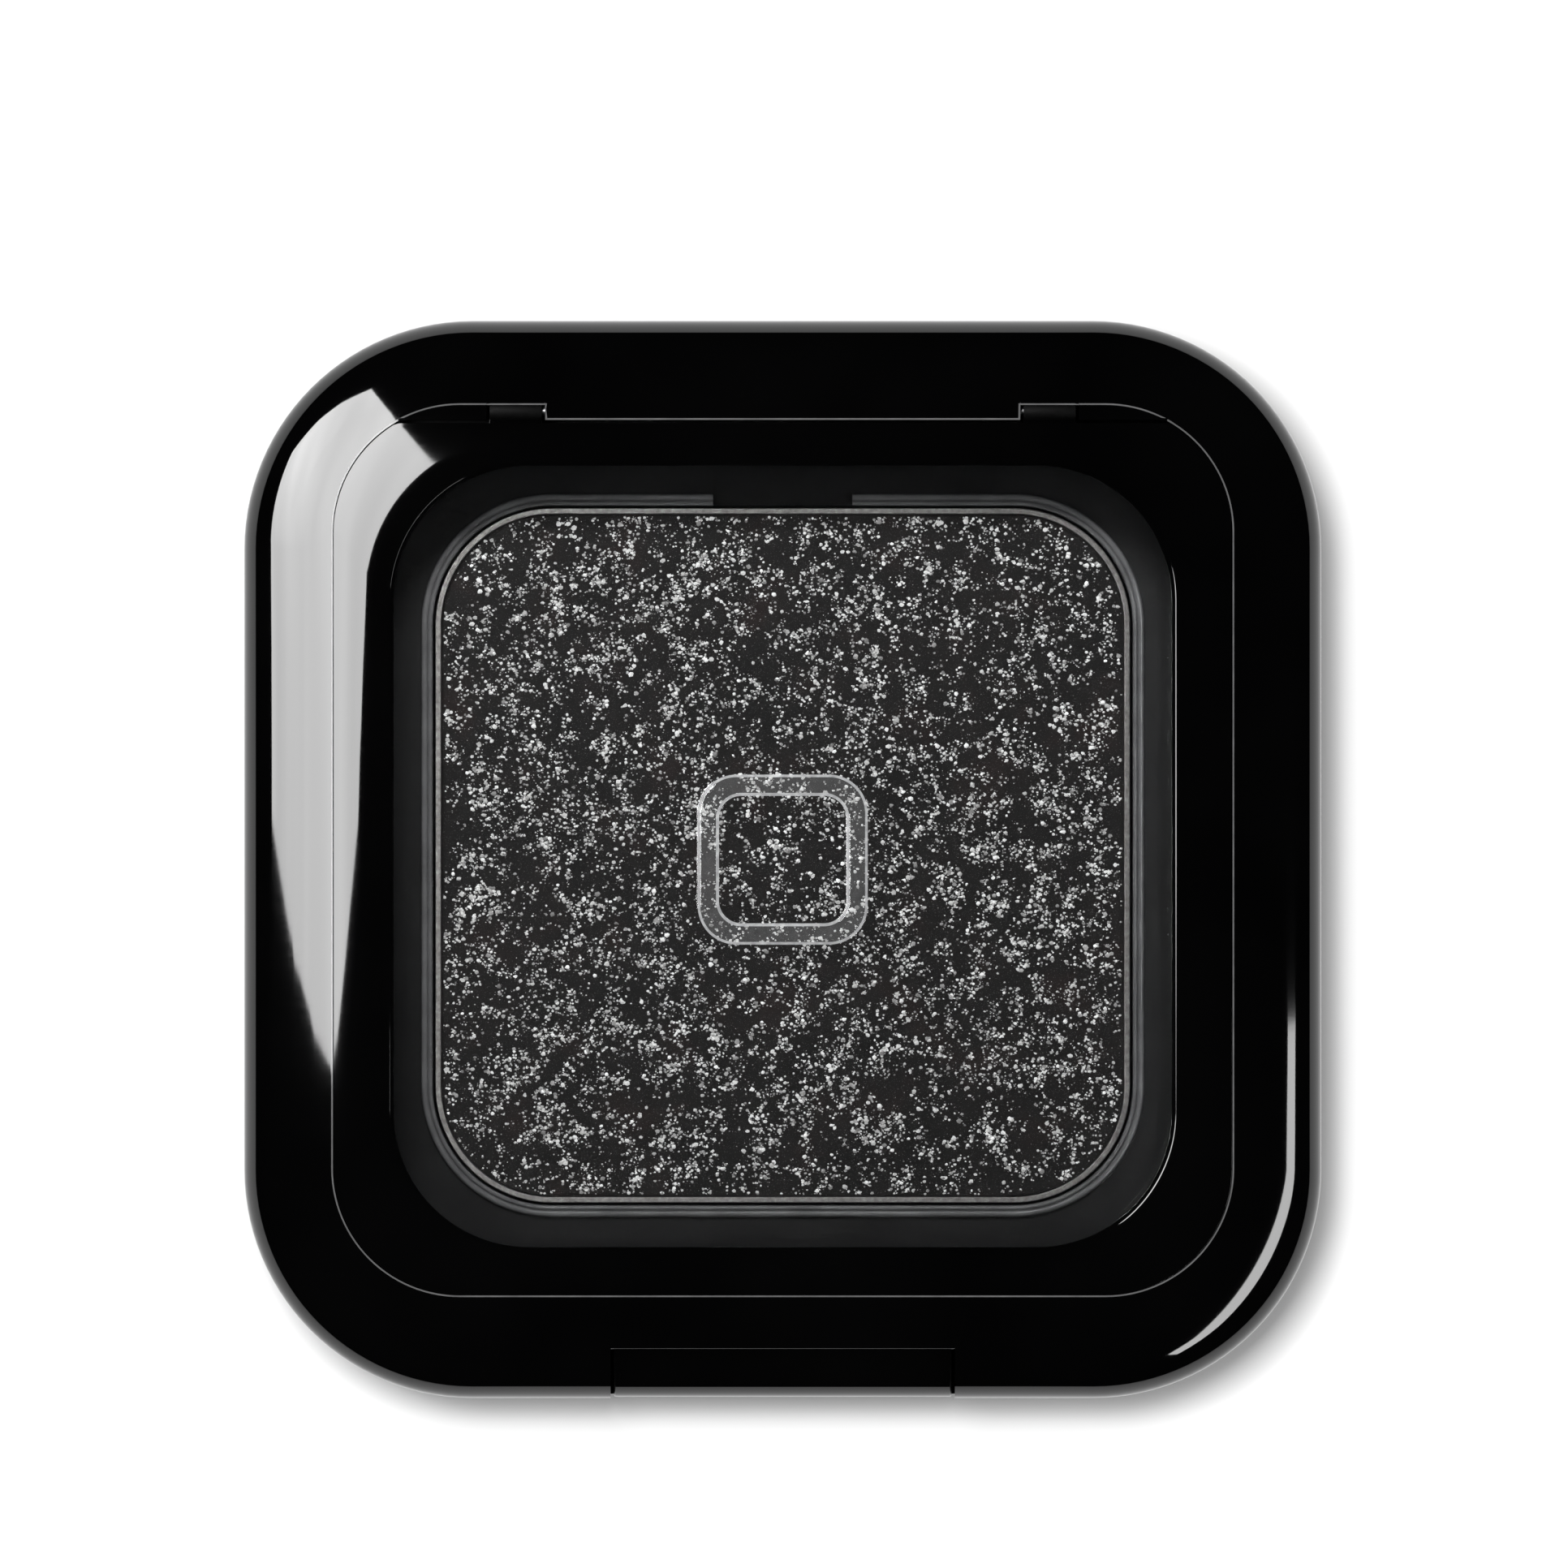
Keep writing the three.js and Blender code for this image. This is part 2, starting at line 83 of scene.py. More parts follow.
LID_HALF_X = LID_HIGH[0]
LID_HALF_Y = LID_HALF_X - 0.18
LID_CENTRE_Y = LID_LOW[1] + LID_HALF_Y
LID_CORNER = 4.85
LID_EDGE = 0.06
LID_GAP = 0.075
LID_BOTTOM = 10.2
LID_REAR = 16.98

FLANGE = 0.72
WINDOW_HALF_X = WINDOW_HIGH[0] - FLANGE
WINDOW_HALF_Y = (WINDOW_HIGH[1] - WINDOW_LOW[1]) / 2 - FLANGE
WINDOW_CENTRE_Y = (WINDOW_HIGH[1] + WINDOW_LOW[1]) / 2
WINDOW_CORNER = 5.25
WINDOW_FACE = CASE_HEIGHT - 0.2
EMBLEM_RISE = 0.12

PAN_HALF = PAN_HIGH[0]
PAN_CENTRE_Y = (PAN_HIGH[1] + PAN_LOW[1]) / 2
PAN_CORNER = 4.55
PAN_WALL = 0.22
DECK = 9.6

HINGE = frame["joints"][0]
HINGE_Y = HINGE["pos_m"][1] / MM
HINGE_Z = HINGE["pos_m"][2] / MM
KNUCKLE_RADIUS = LID_HIGH[1] - HINGE_Y
EAR_INNER = 9.37
EAR_OUTER = 11.4
SLOT_INNER = EAR_INNER - 0.13
SLOT_OUTER = EAR_OUTER + 0.13
POCKET_RADIUS = KNUCKLE_RADIUS + 0.06
LEDGE_FRONT = 17.1
LEDGE_BOTTOM = 10.4

# The thumb piece, its opening in the case and the stem that passes into the case.
SEAM_Y = -19.04
BUTTON_PLAY = 0.12
NOTCH_SIDE = BUTTON_HIGH[0] + BUTTON_PLAY
STEM_HALF = 3.5
STEM_PASSAGE = 3.7
STEM_BOTTOM = 7.65
STEM_TOP = 8.6
TONGUE_HALF = 2.2

# Shared by the moulded pieces.
SIDE_WALL = 1.25
OPENING_WALL = 0.7
LIP_BOTTOM = 11.4
WINDOW_GAP = 0.1
WINDOW_RELIEF = 0.15

# Mesh density: points along corners and sides, and the columns and rings beside an edge.
CORNER_STEPS = 28
SIDE_STEPS = 6
SLIT = 0.006
GUARD = 0.004
GRAINS_PER_PIECE = 17500
TINY = 1e-9


# ---- rings and skins ---------------------------------------------------------------------------

def outline(half_x, half_y, radius, centre_y=0.0):
    """A rounded rectangle: half sizes, corner radius and the Y of its middle."""
    return np.array([half_x, half_y, radius, centre_y])


def case_outline(inset):
    return outline(CASE_HALF - inset, CASE_HALF - inset, CASE_CORNER - inset)


def lid_outline(inset):
    return outline(LID_HALF_X - inset, LID_HALF_Y - inset, LID_CORNER - inset, LID_CENTRE_Y)


def window_outline(inset):
    half_x, half_y = WINDOW_HALF_X - inset, WINDOW_HALF_Y - inset
    return outline(half_x, half_y, WINDOW_CORNER - inset, WINDOW_CENTRE_Y)


def well_outline(half):
    return outline(half, half, PAN_CORNER + half - PAN_HALF, PAN_CENTRE_Y)


def distance_from(shape, x, y):
    """How far points lie outside a rounded rectangle; negative inside it."""
    half_x, half_y, radius, centre_y = shape
    qx = np.abs(x) - (half_x - radius)
    qy = np.abs(y - centre_y) - (half_y - radius)
    outside = np.hypot(np.maximum(qx, 0), np.maximum(qy, 0))
    return outside + np.minimum(np.maximum(qx, qy), 0) - radius


def dome(x, y):
    """Height of the domed border, which runs unbroken across the lid's gap."""
    inset = np.maximum(-distance_from(case_outline(0), x, y), 0)
    from_window = np.maximum(distance_from(window_outline(0), x, y), 0)
    inset = (CASE_HALF - WINDOW_HALF_X) * inset / np.maximum(inset + from_window, TINY)
    run = np.clip(FLAT_INSET - inset, 0, FLAT_INSET - EDGE_INSET)
    top = CASE_HEIGHT - DOME_RADIUS + np.sqrt(DOME_RADIUS ** 2 - run ** 2)
    edge_run = np.clip(EDGE_RADIUS - inset, 0, EDGE_RADIUS)
    edge = WALL_TOP + np.sqrt(EDGE_RADIUS ** 2 - edge_run ** 2)
    return np.where(inset >= EDGE_INSET, top, edge)


def side_stations(reach, breaks):
    """Places along a straight side, with a pair of columns SLIT either side of each break."""
    marks = [reach, *breaks, *[-b for b in reversed(breaks)], -reach]
    places = []
    for i, (a, b) in enumerate(zip(marks, marks[1:])):
        start = a - (SLIT if i > 0 else 0)
        end = b + (SLIT if i < len(marks) - 2 else 0)
        places.extend(np.linspace(start, end, SIDE_STEPS + 1))
    return np.array(places[1:-1])


def ring(shape, height, rear=(), front=()):
    """The points of an outline, anticlockwise from +X, at a height or on a height function.
    rear and front list the X of each break in those sides, from the outermost in."""
    half_x, half_y, radius, centre_y = shape
    reach_x = half_x - radius
    reach_y = half_y - radius
    quarter = np.linspace(0, math.pi / 2, CORNER_STEPS + 1)
    parts = []
    sides = [side_stations(reach_x, rear), side_stations(reach_y, ()),
             side_stations(reach_x, front), side_stations(reach_y, ())]
    for i, (sx, sy) in enumerate([(1, 1), (-1, 1), (-1, -1), (1, -1)]):
        angle = quarter + i * math.pi / 2
        parts.append(np.column_stack([sx * reach_x + radius * np.cos(angle),
                                      sy * reach_y + radius * np.sin(angle)]))
        along = sides[i]
        level = np.full(len(along), half_y if i in (0, 2) else half_x)
        if i == 0:
            parts.append(np.column_stack([along, level]))
        elif i == 1:
            parts.append(np.column_stack([-level, along]))
        elif i == 2:
            parts.append(np.column_stack([-along, -level]))
        else:
            parts.append(np.column_stack([level, -along]))
    flat = np.vstack(parts)
    flat[:, 1] += centre_y
    z = height(flat[:, 0], flat[:, 1]) if callable(height) else np.full(len(flat), height)
    return np.column_stack([flat, z])


def soften(rings, cuts, closed=False, steps=4):
    """Rounds the corner at each ring that has a cut: the distance it is cut back each way.
    A guard ring just beyond each end keeps the flats next to it flat in their shading."""
    most_cut, most_guard = 0.44, 0.49
    result = []
    count = len(rings)
    for i, (here, cut) in enumerate(zip(rings, cuts)):
        if cut == 0 or (not closed and i in (0, count - 1)):
            result.append(here)
            continue
        ends = []
        guards = []
        for other in (rings[i - 1], rings[(i + 1) % count]):
            step = other - here
            length = np.linalg.norm(step, axis=1, keepdims=True)
            length = np.maximum(length, TINY)
            share = np.minimum(cut / length, most_cut)
            beyond = np.minimum(share * 1.1 + GUARD / length, most_guard)
            ends.append(here + step * share)
            guards.append(here + step * beyond)
        result.append(guards[0])
        for t in np.linspace(0, 1, steps + 1):
            result.append((1 - t) ** 2 * ends[0] + 2 * t * (1 - t) * here + t ** 2 * ends[1])
        result.append(guards[1])
    return result


def add_object(name, data):
    """Puts a new object into the scene."""
    obj = bpy.data.objects.new(name, data)
    bpy.context.scene.collection.objects.link(obj)
    return obj


def plain_mesh(name, points, faces):
    """A mesh from millimetre points."""
    mesh = bpy.data.meshes.new(name)
    mesh.from_pydata([tuple(p) for p in np.asarray(points) * MM], [], faces)
    return mesh


def mesh_object(name, points, faces):
    """Makes an object from millimetre points, with its faces turned outwards."""
    mesh = plain_mesh(name, points, faces)
    work = bmesh.new()
    work.from_mesh(mesh)
    bmesh.ops.remove_doubles(work, verts=work.verts, dist=1e-8)
    bmesh.ops.dissolve_degenerate(work, edges=work.edges, dist=1e-8)
    bmesh.ops.recalc_face_normals(work, faces=work.faces)
    work.to_mesh(mesh)
    work.free()
    return add_object(name, mesh)


def skin(name, rings, closed=False):
    """Joins rings into one body: a closed frame, or a capped solid."""
    count = len(rings[0])
    faces = []
    bands = len(rings) if closed else len(rings) - 1
    for band in range(bands):
        a = band * count
        b = ((band + 1) % len(rings)) * count
        for i in range(count):
            j = (i + 1) % count
            faces.append((a + i, a + j, b + j, b + i))
    if not closed:
        last = (len(rings) - 1) * count
        faces.append(tuple(range(count - 1, -1, -1)))
        faces.append(tuple(range(last, last + count)))
    return mesh_object(name, np.vstack(rings), faces)


def profile_skin(name, profile, steps):
    """A solid from (outline, height, corner cut) rings."""
    laid = [ring(shape, z) for shape, z, _ in profile]
    return skin(name, soften(laid, [cut for _, _, cut in profile], steps=steps))


def block(name, x0, x1, y0, y1, z0, z1):
    """A box that cuts or joins another piece."""
    corners = [(x, y, z) for x in (x0, x1) for y in (y0, y1) for z in (z0, z1)]
    faces = [(0, 1, 3, 2), (4, 6, 7, 5), (0, 4, 5, 1), (2, 3, 7, 6), (0, 2, 6, 4), (1, 5, 7, 3)]
    return mesh_object(name, corners, faces)


def prism(name, section, x0, x1, edge=0.0):
    """A polygon of (y, z) points drawn out along X, with its two ends eased by edge."""
    section = np.array(section, float)
    middle = section.mean(0)
    size = np.abs(section - middle).max()
    small = middle + (section - middle) * (1 - edge / size)
    layers = [(x0, small), (x0 + edge, section), (x1 - edge, section), (x1, small)]
    if edge == 0:
        layers = [(x0, section), (x1, section)]
    rings = [np.column_stack([np.full(len(s), x), s]) for x, s in layers]
    return skin(name, rings)


def rod(name, y, z, radius, x0, x1, edge=0.0, sides=40):
    """A round bar along X."""
    angle = np.linspace(0, 2 * math.pi, sides, endpoint=False)
    section = np.column_stack([y + radius * np.cos(angle), z + radius * np.sin(angle)])
    return prism(name, section, x0, x1, edge)


def combine(target, tool, operation):
    """Joins the tool to the target, or cuts it out, and removes the tool."""
    step = target.modifiers.new("combine", "BOOLEAN")
    step.operation = operation
    step.solver = "EXACT"
    step.object = tool
    bpy.context.view_layer.update()
    graph = bpy.context.evaluated_depsgraph_get()
    mesh = bpy.data.meshes.new_from_object(target.evaluated_get(graph))
    target.modifiers.clear()
    target.data = mesh
    bpy.data.objects.remove(tool)


def bevel_edges(obj, width, angle=40, segments=2):
    """Eases every edge sharper than an angle."""
    step = obj.modifiers.new("ease", "BEVEL")
    step.width = width * MM
    step.segments = segments
    step.limit_method = "ANGLE"
    step.angle_limit = math.radians(angle)
    step.miter_outer = "MITER_ARC"


def finish_surface(obj, sharp=38, weighted=False):
    """Smooth shading that keeps hard edges hard."""
    obj.data.polygons.foreach_set("use_smooth", [True] * len(obj.data.polygons))
    obj.data.set_sharp_from_angle(angle=math.radians(sharp))
    if not weighted:
        return
    step = obj.modifiers.new("flat faces", "WEIGHTED_NORMAL")
    step.keep_sharp = True
    step.weight = 80


def settle(obj, body, nodes, materials):
    """Gives a finished piece its body and materials, and hides the CAD nodes it replaces."""
    for material in materials:
        if material.name not in [m.name for m in obj.data.materials if m]:
            obj.data.materials.append(material)
    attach(obj, body)
    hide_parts(*nodes)
    return obj


# ---- materials ---------------------------------------------------------------------------------

def new_material(name):
    """A material with its node tree and main shader."""
    material = bpy.data.materials.new(name)
    material.use_nodes = True
    tree = material.node_tree
    return material, tree, tree.nodes["Principled BSDF"]


def texture_place(tree, scale=(1, 1, 1)):
    """Object coordinates in millimetres, stretched by scale."""
    place = tree.nodes.new("ShaderNodeTexCoord")
    mapping = tree.nodes.new("ShaderNodeMapping")
    mapping.inputs["Scale"].default_value = [s / MM for s in scale]
    tree.links.new(place.outputs["Object"], mapping.inputs["Vector"])
    return mapping.outputs["Vector"]


def noise_value(tree, where, scale, detail=3.0, roughness=0.55, distortion=0.0):
    """A noise of scale features per millimetre."""
    node = tree.nodes.new("ShaderNodeTexNoise")
    node.inputs["Scale"].default_value = scale
    node.inputs["Detail"].default_value = detail
    node.inputs["Roughness"].default_value = roughness
    node.inputs["Distortion"].default_value = distortion
    tree.links.new(where, node.inputs["Vector"])
    return node.outputs["Fac"]


def remap(tree, value, low, high, to_low, to_high):
    """Stretches low..high to to_low..to_high, and holds it there."""
    node = tree.nodes.new("ShaderNodeMapRange")
    node.inputs["From Min"].default_value = low
    node.inputs["From Max"].default_value = high
    node.inputs["To Min"].default_value = to_low
    node.inputs["To Max"].default_value = to_high
    tree.links.new(value, node.inputs["Value"])
    return node.outputs["Result"]


def ramp(tree, value, stops):
    """A colour from (place, colour) stops."""
    node = tree.nodes.new("ShaderNodeValToRGB")
    elements = node.color_ramp.elements
    while len(elements) < len(stops):
        elements.new(0.5)
    for element, (place, colour) in zip(elements, stops):
        element.position = place
        element.color = (*colour, 1)
    tree.links.new(value, node.inputs["Fac"])
    return node.outputs["Color"]


def product(tree, first, second, clamp=False):
    """One value times another."""
    node = tree.nodes.new("ShaderNodeMath")
    node.operation = "MULTIPLY"
    node.use_clamp = clamp
    tree.links.new(first, node.inputs[0])
    tree.links.new(second, node.inputs[1])
    return node.outputs[0]


def dress(tree, shader, colour, roughness, relief, strength, depth_mm):
    """Gives a shader its colour, its roughness and a fine relief."""
    tree.links.new(colour, shader.inputs["Base Color"])
    tree.links.new(roughness, shader.inputs["Roughness"])
    node = tree.nodes.new("ShaderNodeBump")
    node.inputs["Strength"].default_value = strength
    node.inputs["Distance"].default_value = depth_mm * MM
    tree.links.new(relief, node.inputs["Height"])
    tree.links.new(node.outputs["Normal"], shader.inputs["Normal"])


def gloss_black():
    """High-gloss moulded black: deep colour, faint flow variation and hairline rub marks."""
    material, tree, shader = new_material("gloss_black_plastic")
    where = texture_place(tree)
    cloud = noise_value(tree, where, 0.12, 2)
    rub_and_sheen = noise_value(tree, texture_place(tree, (0.25, 6, 1)), 1.1, 5, 0.7)
    wave = noise_value(tree, where, 0.22, 1.5)
    colour = ramp(tree, cloud, [(0.3, (0.0006, 0.0006, 0.00065)), (0.7, (0.0012, 0.0012, 0.00125))])
    dress(tree, shader, colour, remap(tree, rub_and_sheen, 0.4, 0.8, 0.03, 0.042), wave, 0.06, 0.02)
    shader.inputs["IOR"].default_value = 1.5
    return material


def satin_black():
    """Fine spark-eroded satin black with a little dust in its grain."""
    material, tree, shader = new_material("satin_black_plastic")
    where = texture_place(tree)
    grain = noise_value(tree, where, 14, 3, 0.6)
    cloud = noise_value(tree, where, 0.35, 3)
    dust = product(tree, grain, cloud)
    colour = ramp(tree, dust, [(0.1, (0.01, 0.01, 0.0102)), (0.45, (0.021, 0.021, 0.0213))])
    dress(tree, shader, colour, remap(tree, grain, 0.3, 0.7, 0.36, 0.52), grain, 0.25, 0.012)
    shader.inputs["IOR"].default_value = 1.5
    return material


def dull_black():
    """Unpolished black plastic inside the hinge."""
    material, tree, shader = new_material("dull_black_plastic")
    grain = noise_value(tree, texture_place(tree), 8, 3, 0.6)
    colour = ramp(tree, grain, [(0.3, (0.0006, 0.0006, 0.0006)), (0.7, (0.0014, 0.0014, 0.0014))])
    dress(tree, shader, colour, remap(tree, grain, 0.3, 0.7, 0.5, 0.7), grain, 0.2, 0.01)
    shader.inputs["Specular IOR Level"].default_value = 0.08
    return material


def bead_with_painted_sheen():
    """The tray's bead, polished by the tool, in a colour much lighter than the deck: painted sheen
    for its ridges catching the light.
    """
    material, tree, shader = new_material("bead_black_painted_sheen")
    where = texture_place(tree)
    cloud = noise_value(tree, where, 0.6, 3)
    ripple = noise_value(tree, where, 5, 2)
    # Light grey colour on black plastic: painted sheen, not the plastic's own colour.
    colour = ramp(tree, cloud, [(0.3, (0.14, 0.14, 0.142)), (0.7, (0.22, 0.22, 0.223))])
    dress(tree, shader, colour, remap(tree, cloud, 0.3, 0.7, 0.14, 0.22), ripple, 0.1, 0.01)
    shader.inputs["IOR"].default_value = 1.5
    return material


def edge_painted_highlight():
    """Edge of the gap round the lid, in a light grey that is a painted highlight for the fine edge
    catching the light.
    """
    material, tree, shader = new_material("black_edge_painted_highlight")
    rub_and_sheen = noise_value(tree, texture_place(tree), 1.2, 4, 0.6)
    # Light grey colour on black plastic: painted highlight along the lid's edge.
    colour = ramp(tree, rub_and_sheen, [(0.3, (0.08, 0.08, 0.081)), (0.7, (0.12, 0.12, 0.121))])
    dress(tree, shader, colour, remap(tree, rub_and_sheen, 0.3, 0.7, 0.04, 0.07), rub_and_sheen, 0.1, 0.01)
    return material


def clear_plastic(name, body, haze_low, haze_high):
    """Clear polished plastic: mostly see-through, with a Fresnel gloss and a share of haze."""
    material = bpy.data.materials.new(name)
    material.use_nodes = True
    tree = material.node_tree
    tree.nodes.clear()
    output = tree.nodes.new("ShaderNodeOutputMaterial")
    gloss = tree.nodes.new("ShaderNodeBsdfPrincipled")
    gloss.inputs["Metallic"].default_value = 1.0
    hazy = tree.nodes.new("ShaderNodeBsdfPrincipled")
    hazy.inputs["Roughness"].default_value = 0.5
    through = tree.nodes.new("ShaderNodeBsdfTransparent")
    through.inputs["Color"].default_value = (0.985, 0.988, 0.99, 1)
    fresnel = tree.nodes.new("ShaderNodeFresnel")
    fresnel.inputs["IOR"].default_value = 1.49
    where = texture_place(tree)
    cloud = noise_value(tree, where, 0.3, 2)
    dust = noise_value(tree, where, 3.0, 4, 0.65)
    shine = ramp(tree, cloud, [(0.3, (0.93, 0.94, 0.95)), (0.7, (0.99, 0.99, 0.99))])
    dress(tree, gloss, shine, remap(tree, cloud, 0.3, 0.7, 0.02, 0.06), cloud, 0.06, 0.02)
    colour = ramp(tree, dust, [(0.3, tuple(0.8 * c for c in body)), (0.75, body)])
    tree.links.new(colour, hazy.inputs["Base Color"])
    inner = tree.nodes.new("ShaderNodeMixShader")
    tree.links.new(remap(tree, dust, 0.35, 0.75, haze_low, haze_high), inner.inputs["Fac"])
    tree.links.new(through.outputs[0], inner.inputs[1])
    tree.links.new(hazy.outputs[0], inner.inputs[2])
    outer = tree.nodes.new("ShaderNodeMixShader")
    tree.links.new(fresnel.outputs[0], outer.inputs["Fac"])
    tree.links.new(inner.outputs[0], outer.inputs[1])
    tree.links.new(gloss.outputs[0], outer.inputs[2])
    tree.links.new(outer.outputs[0], output.inputs["Surface"])
    return material


def pan_aluminium():
    """Drawn aluminium: brushed round the lip, slightly dulled by powder."""
    material, tree, shader = new_material("pan_aluminium")
    streak = noise_value(tree, texture_place(tree, (1, 1, 14)), 2.0, 4, 0.7)
    dust = noise_value(tree, texture_place(tree), 5, 5, 0.7)
    colour = ramp(tree, dust, [(0.35, (0.1, 0.094, 0.09)), (0.55, (0.16, 0.155, 0.15)),
                               (0.8, (0.3, 0.295, 0.29))])
    dress(tree, shader, colour, remap(tree, dust, 0.3, 0.8, 0.5, 0.28), streak, 0.3, 0.01)
    shader.inputs["Metallic"].default_value = 0.7
    return material


def steel():
    """Drawn steel wire and strip, with fine lengthwise die lines."""
    material, tree, shader = new_material("spring_steel")
    lines = noise_value(tree, texture_place(tree, (0.3, 12, 12)), 2.0, 4, 0.6)
    colour = ramp(tree, lines, [(0.3, (0.42, 0.42, 0.43)), (0.7, (0.6, 0.6, 0.61))])
    dress(tree, shader, colour, remap(tree, lines, 0.3, 0.7, 0.24, 0.4), lines, 0.2, 0.008)
    shader.inputs["Metallic"].default_value = 1.0
    return material


def powder_base():
    """Pressed charcoal powder: soft, faintly warm in patches, with fine bright dust."""
    material, tree, shader = new_material("charcoal_powder")
    where = texture_place(tree)
    grain = noise_value(tree, where, 16, 4, 0.75)
    patch = noise_value(tree, where, 0.45, 4, 0.6, 0.4)
    dark = ramp(tree, patch, [(0.35, (0.0045, 0.0042, 0.0041)), (0.55, (0.0062, 0.0054, 0.0052)),
                              (0.7, (0.0095, 0.0064, 0.006))])
    speck = tree.nodes.new("ShaderNodeTexVoronoi")
    speck.inputs["Scale"].default_value = 13.0
    tree.links.new(where, speck.inputs["Vector"])
    spots = remap(tree, speck.outputs["Distance"], 0.1, 0.34, 1.0, 0.0)
    patchy = remap(tree, grain, 0.5, 0.72, 0.0, 1.0)
    mix = tree.nodes.new("ShaderNodeMix")
    mix.data_type = "RGBA"
    tree.links.new(product(tree, spots, patchy, True), mix.inputs["Factor"])
    tree.links.new(dark, mix.inputs["A"])
    mix.inputs["B"].default_value = (0.24, 0.235, 0.23, 1)
    colour = mix.outputs["Result"]
    dress(tree, shader, colour, remap(tree, grain, 0.3, 0.7, 0.95, 0.7), grain, 0.6, 0.03)
    shader.inputs["Specular IOR Level"].default_value = 0.2
    return material


def glitter():
    """Silver flakes, each with its own tone."""
    material, tree, shader = new_material("silver_glitter")
    island = tree.nodes.new("ShaderNodeNewGeometry")
    tone = island.outputs["Random Per Island"]
    colour = ramp(tree, tone, [(0.0, (0.18, 0.177, 0.173)), (0.3, (0.38, 0.376, 0.368)),
                               (0.65, (0.62, 0.616, 0.606)), (1.0, (0.86, 0.857, 0.85))])
    frost = noise_value(tree, texture_place(tree), 30, 2)
    dress(tree, shader, colour, remap(tree, frost, 0.3, 0.7, 0.35, 0.6), frost, 0.3, 0.01)
    shader.inputs["Metallic"].default_value = 0.15
    return material


def foam_pad():
    """Open-cell foam with adhesive on both sides."""
    material, tree, shader = new_material("adhesive_foam")
    cell = noise_value(tree, texture_place(tree), 7, 4, 0.7)
    colour = ramp(tree, cell, [(0.3, (0.44, 0.41, 0.33)), (0.7, (0.6, 0.57, 0.48))])
    dress(tree, shader, colour, remap(tree, cell, 0.3, 0.7, 0.65, 0.85), cell, 0.5, 0.03)
    return material


def label_film():
    """Blank dark film label with a fine paper tooth."""
    material, tree, shader = new_material("blank_label_film")
    where = texture_place(tree)
    tooth = noise_value(tree, where, 9, 4, 0.7)
    cloud = noise_value(tree, where, 0.25, 3)
    colour = ramp(tree, cloud, [(0.3, (0.03, 0.03, 0.031)), (0.7, (0.042, 0.042, 0.043))])
    dress(tree, shader, colour, remap(tree, tooth, 0.3, 0.7, 0.38, 0.55), tooth, 0.25, 0.01)
    return material


# ---- case --------------------------------------------------------------------------------------

def edge_insets():
    """Insets of the rings that follow the dome from the seam to the side wall."""
    dome_end = math.asin((FLAT_INSET - EDGE_INSET) / DOME_RADIUS)
    seam = CASE_HALF + SEAM_Y
    dome_insets = list(np.linspace(seam, EDGE_INSET, 7))
    turn = np.linspace(dome_end, math.pi / 2, 18)[1:-1]
    return dome_insets + [EDGE_RADIUS * (1 - math.sin(a)) for a in turn]


def rear_ledge(x, y):
    """True where the case's rear ledge reaches forward, beside and between the ears."""
    beside_slot = (np.abs(x) < SLOT_INNER) | (np.abs(x) > SLOT_OUTER)
    return beside_slot & (y > LEDGE_FRONT)


def opening_ring(rise, ease=0.0, height=None):
    """The lid opening's edge, with its hinge ledge, eased back from the gap by a distance."""
    points = ring(lid_outline(-LID_GAP - ease), 0, (SLOT_OUTER, SLOT_INNER), (NOTCH_SIDE,))
    x, y = points[:, 0], points[:, 1]
    points[rear_ledge(x, y), 1] = LEDGE_FRONT + ease
    step = (np.abs(np.abs(x) - SLOT_INNER) < 2 * SLIT) & (y > 0)
    points[step, 0] -= np.sign(points[step, 0]) * ease
    points[:, 2] = dome(points[:, 0], points[:, 1]) + rise if height is None else height
    return points


def seam_groove(near, far, depth):
    """A ring that follows the lid's outline over the ledge's ends, where it is sunk by depth."""
    breaks = (SLOT_OUTER, SLOT_INNER), (NOTCH_SIDE,)
    inner = ring(lid_outline(-LID_GAP - near), 0, *breaks)
    outer = ring(lid_outline(-LID_GAP - far), 0, *breaks)
    blend = np.clip((inner[:, 1] - LEDGE_FRONT) / 0.1, 0, 1) * (np.abs(inner[:, 0]) > SLOT_OUTER)
    points = outer + (inner - outer) * blend[:, None]
    points[:, 2] = dome(points[:, 0], points[:, 1]) - depth * blend
    return points


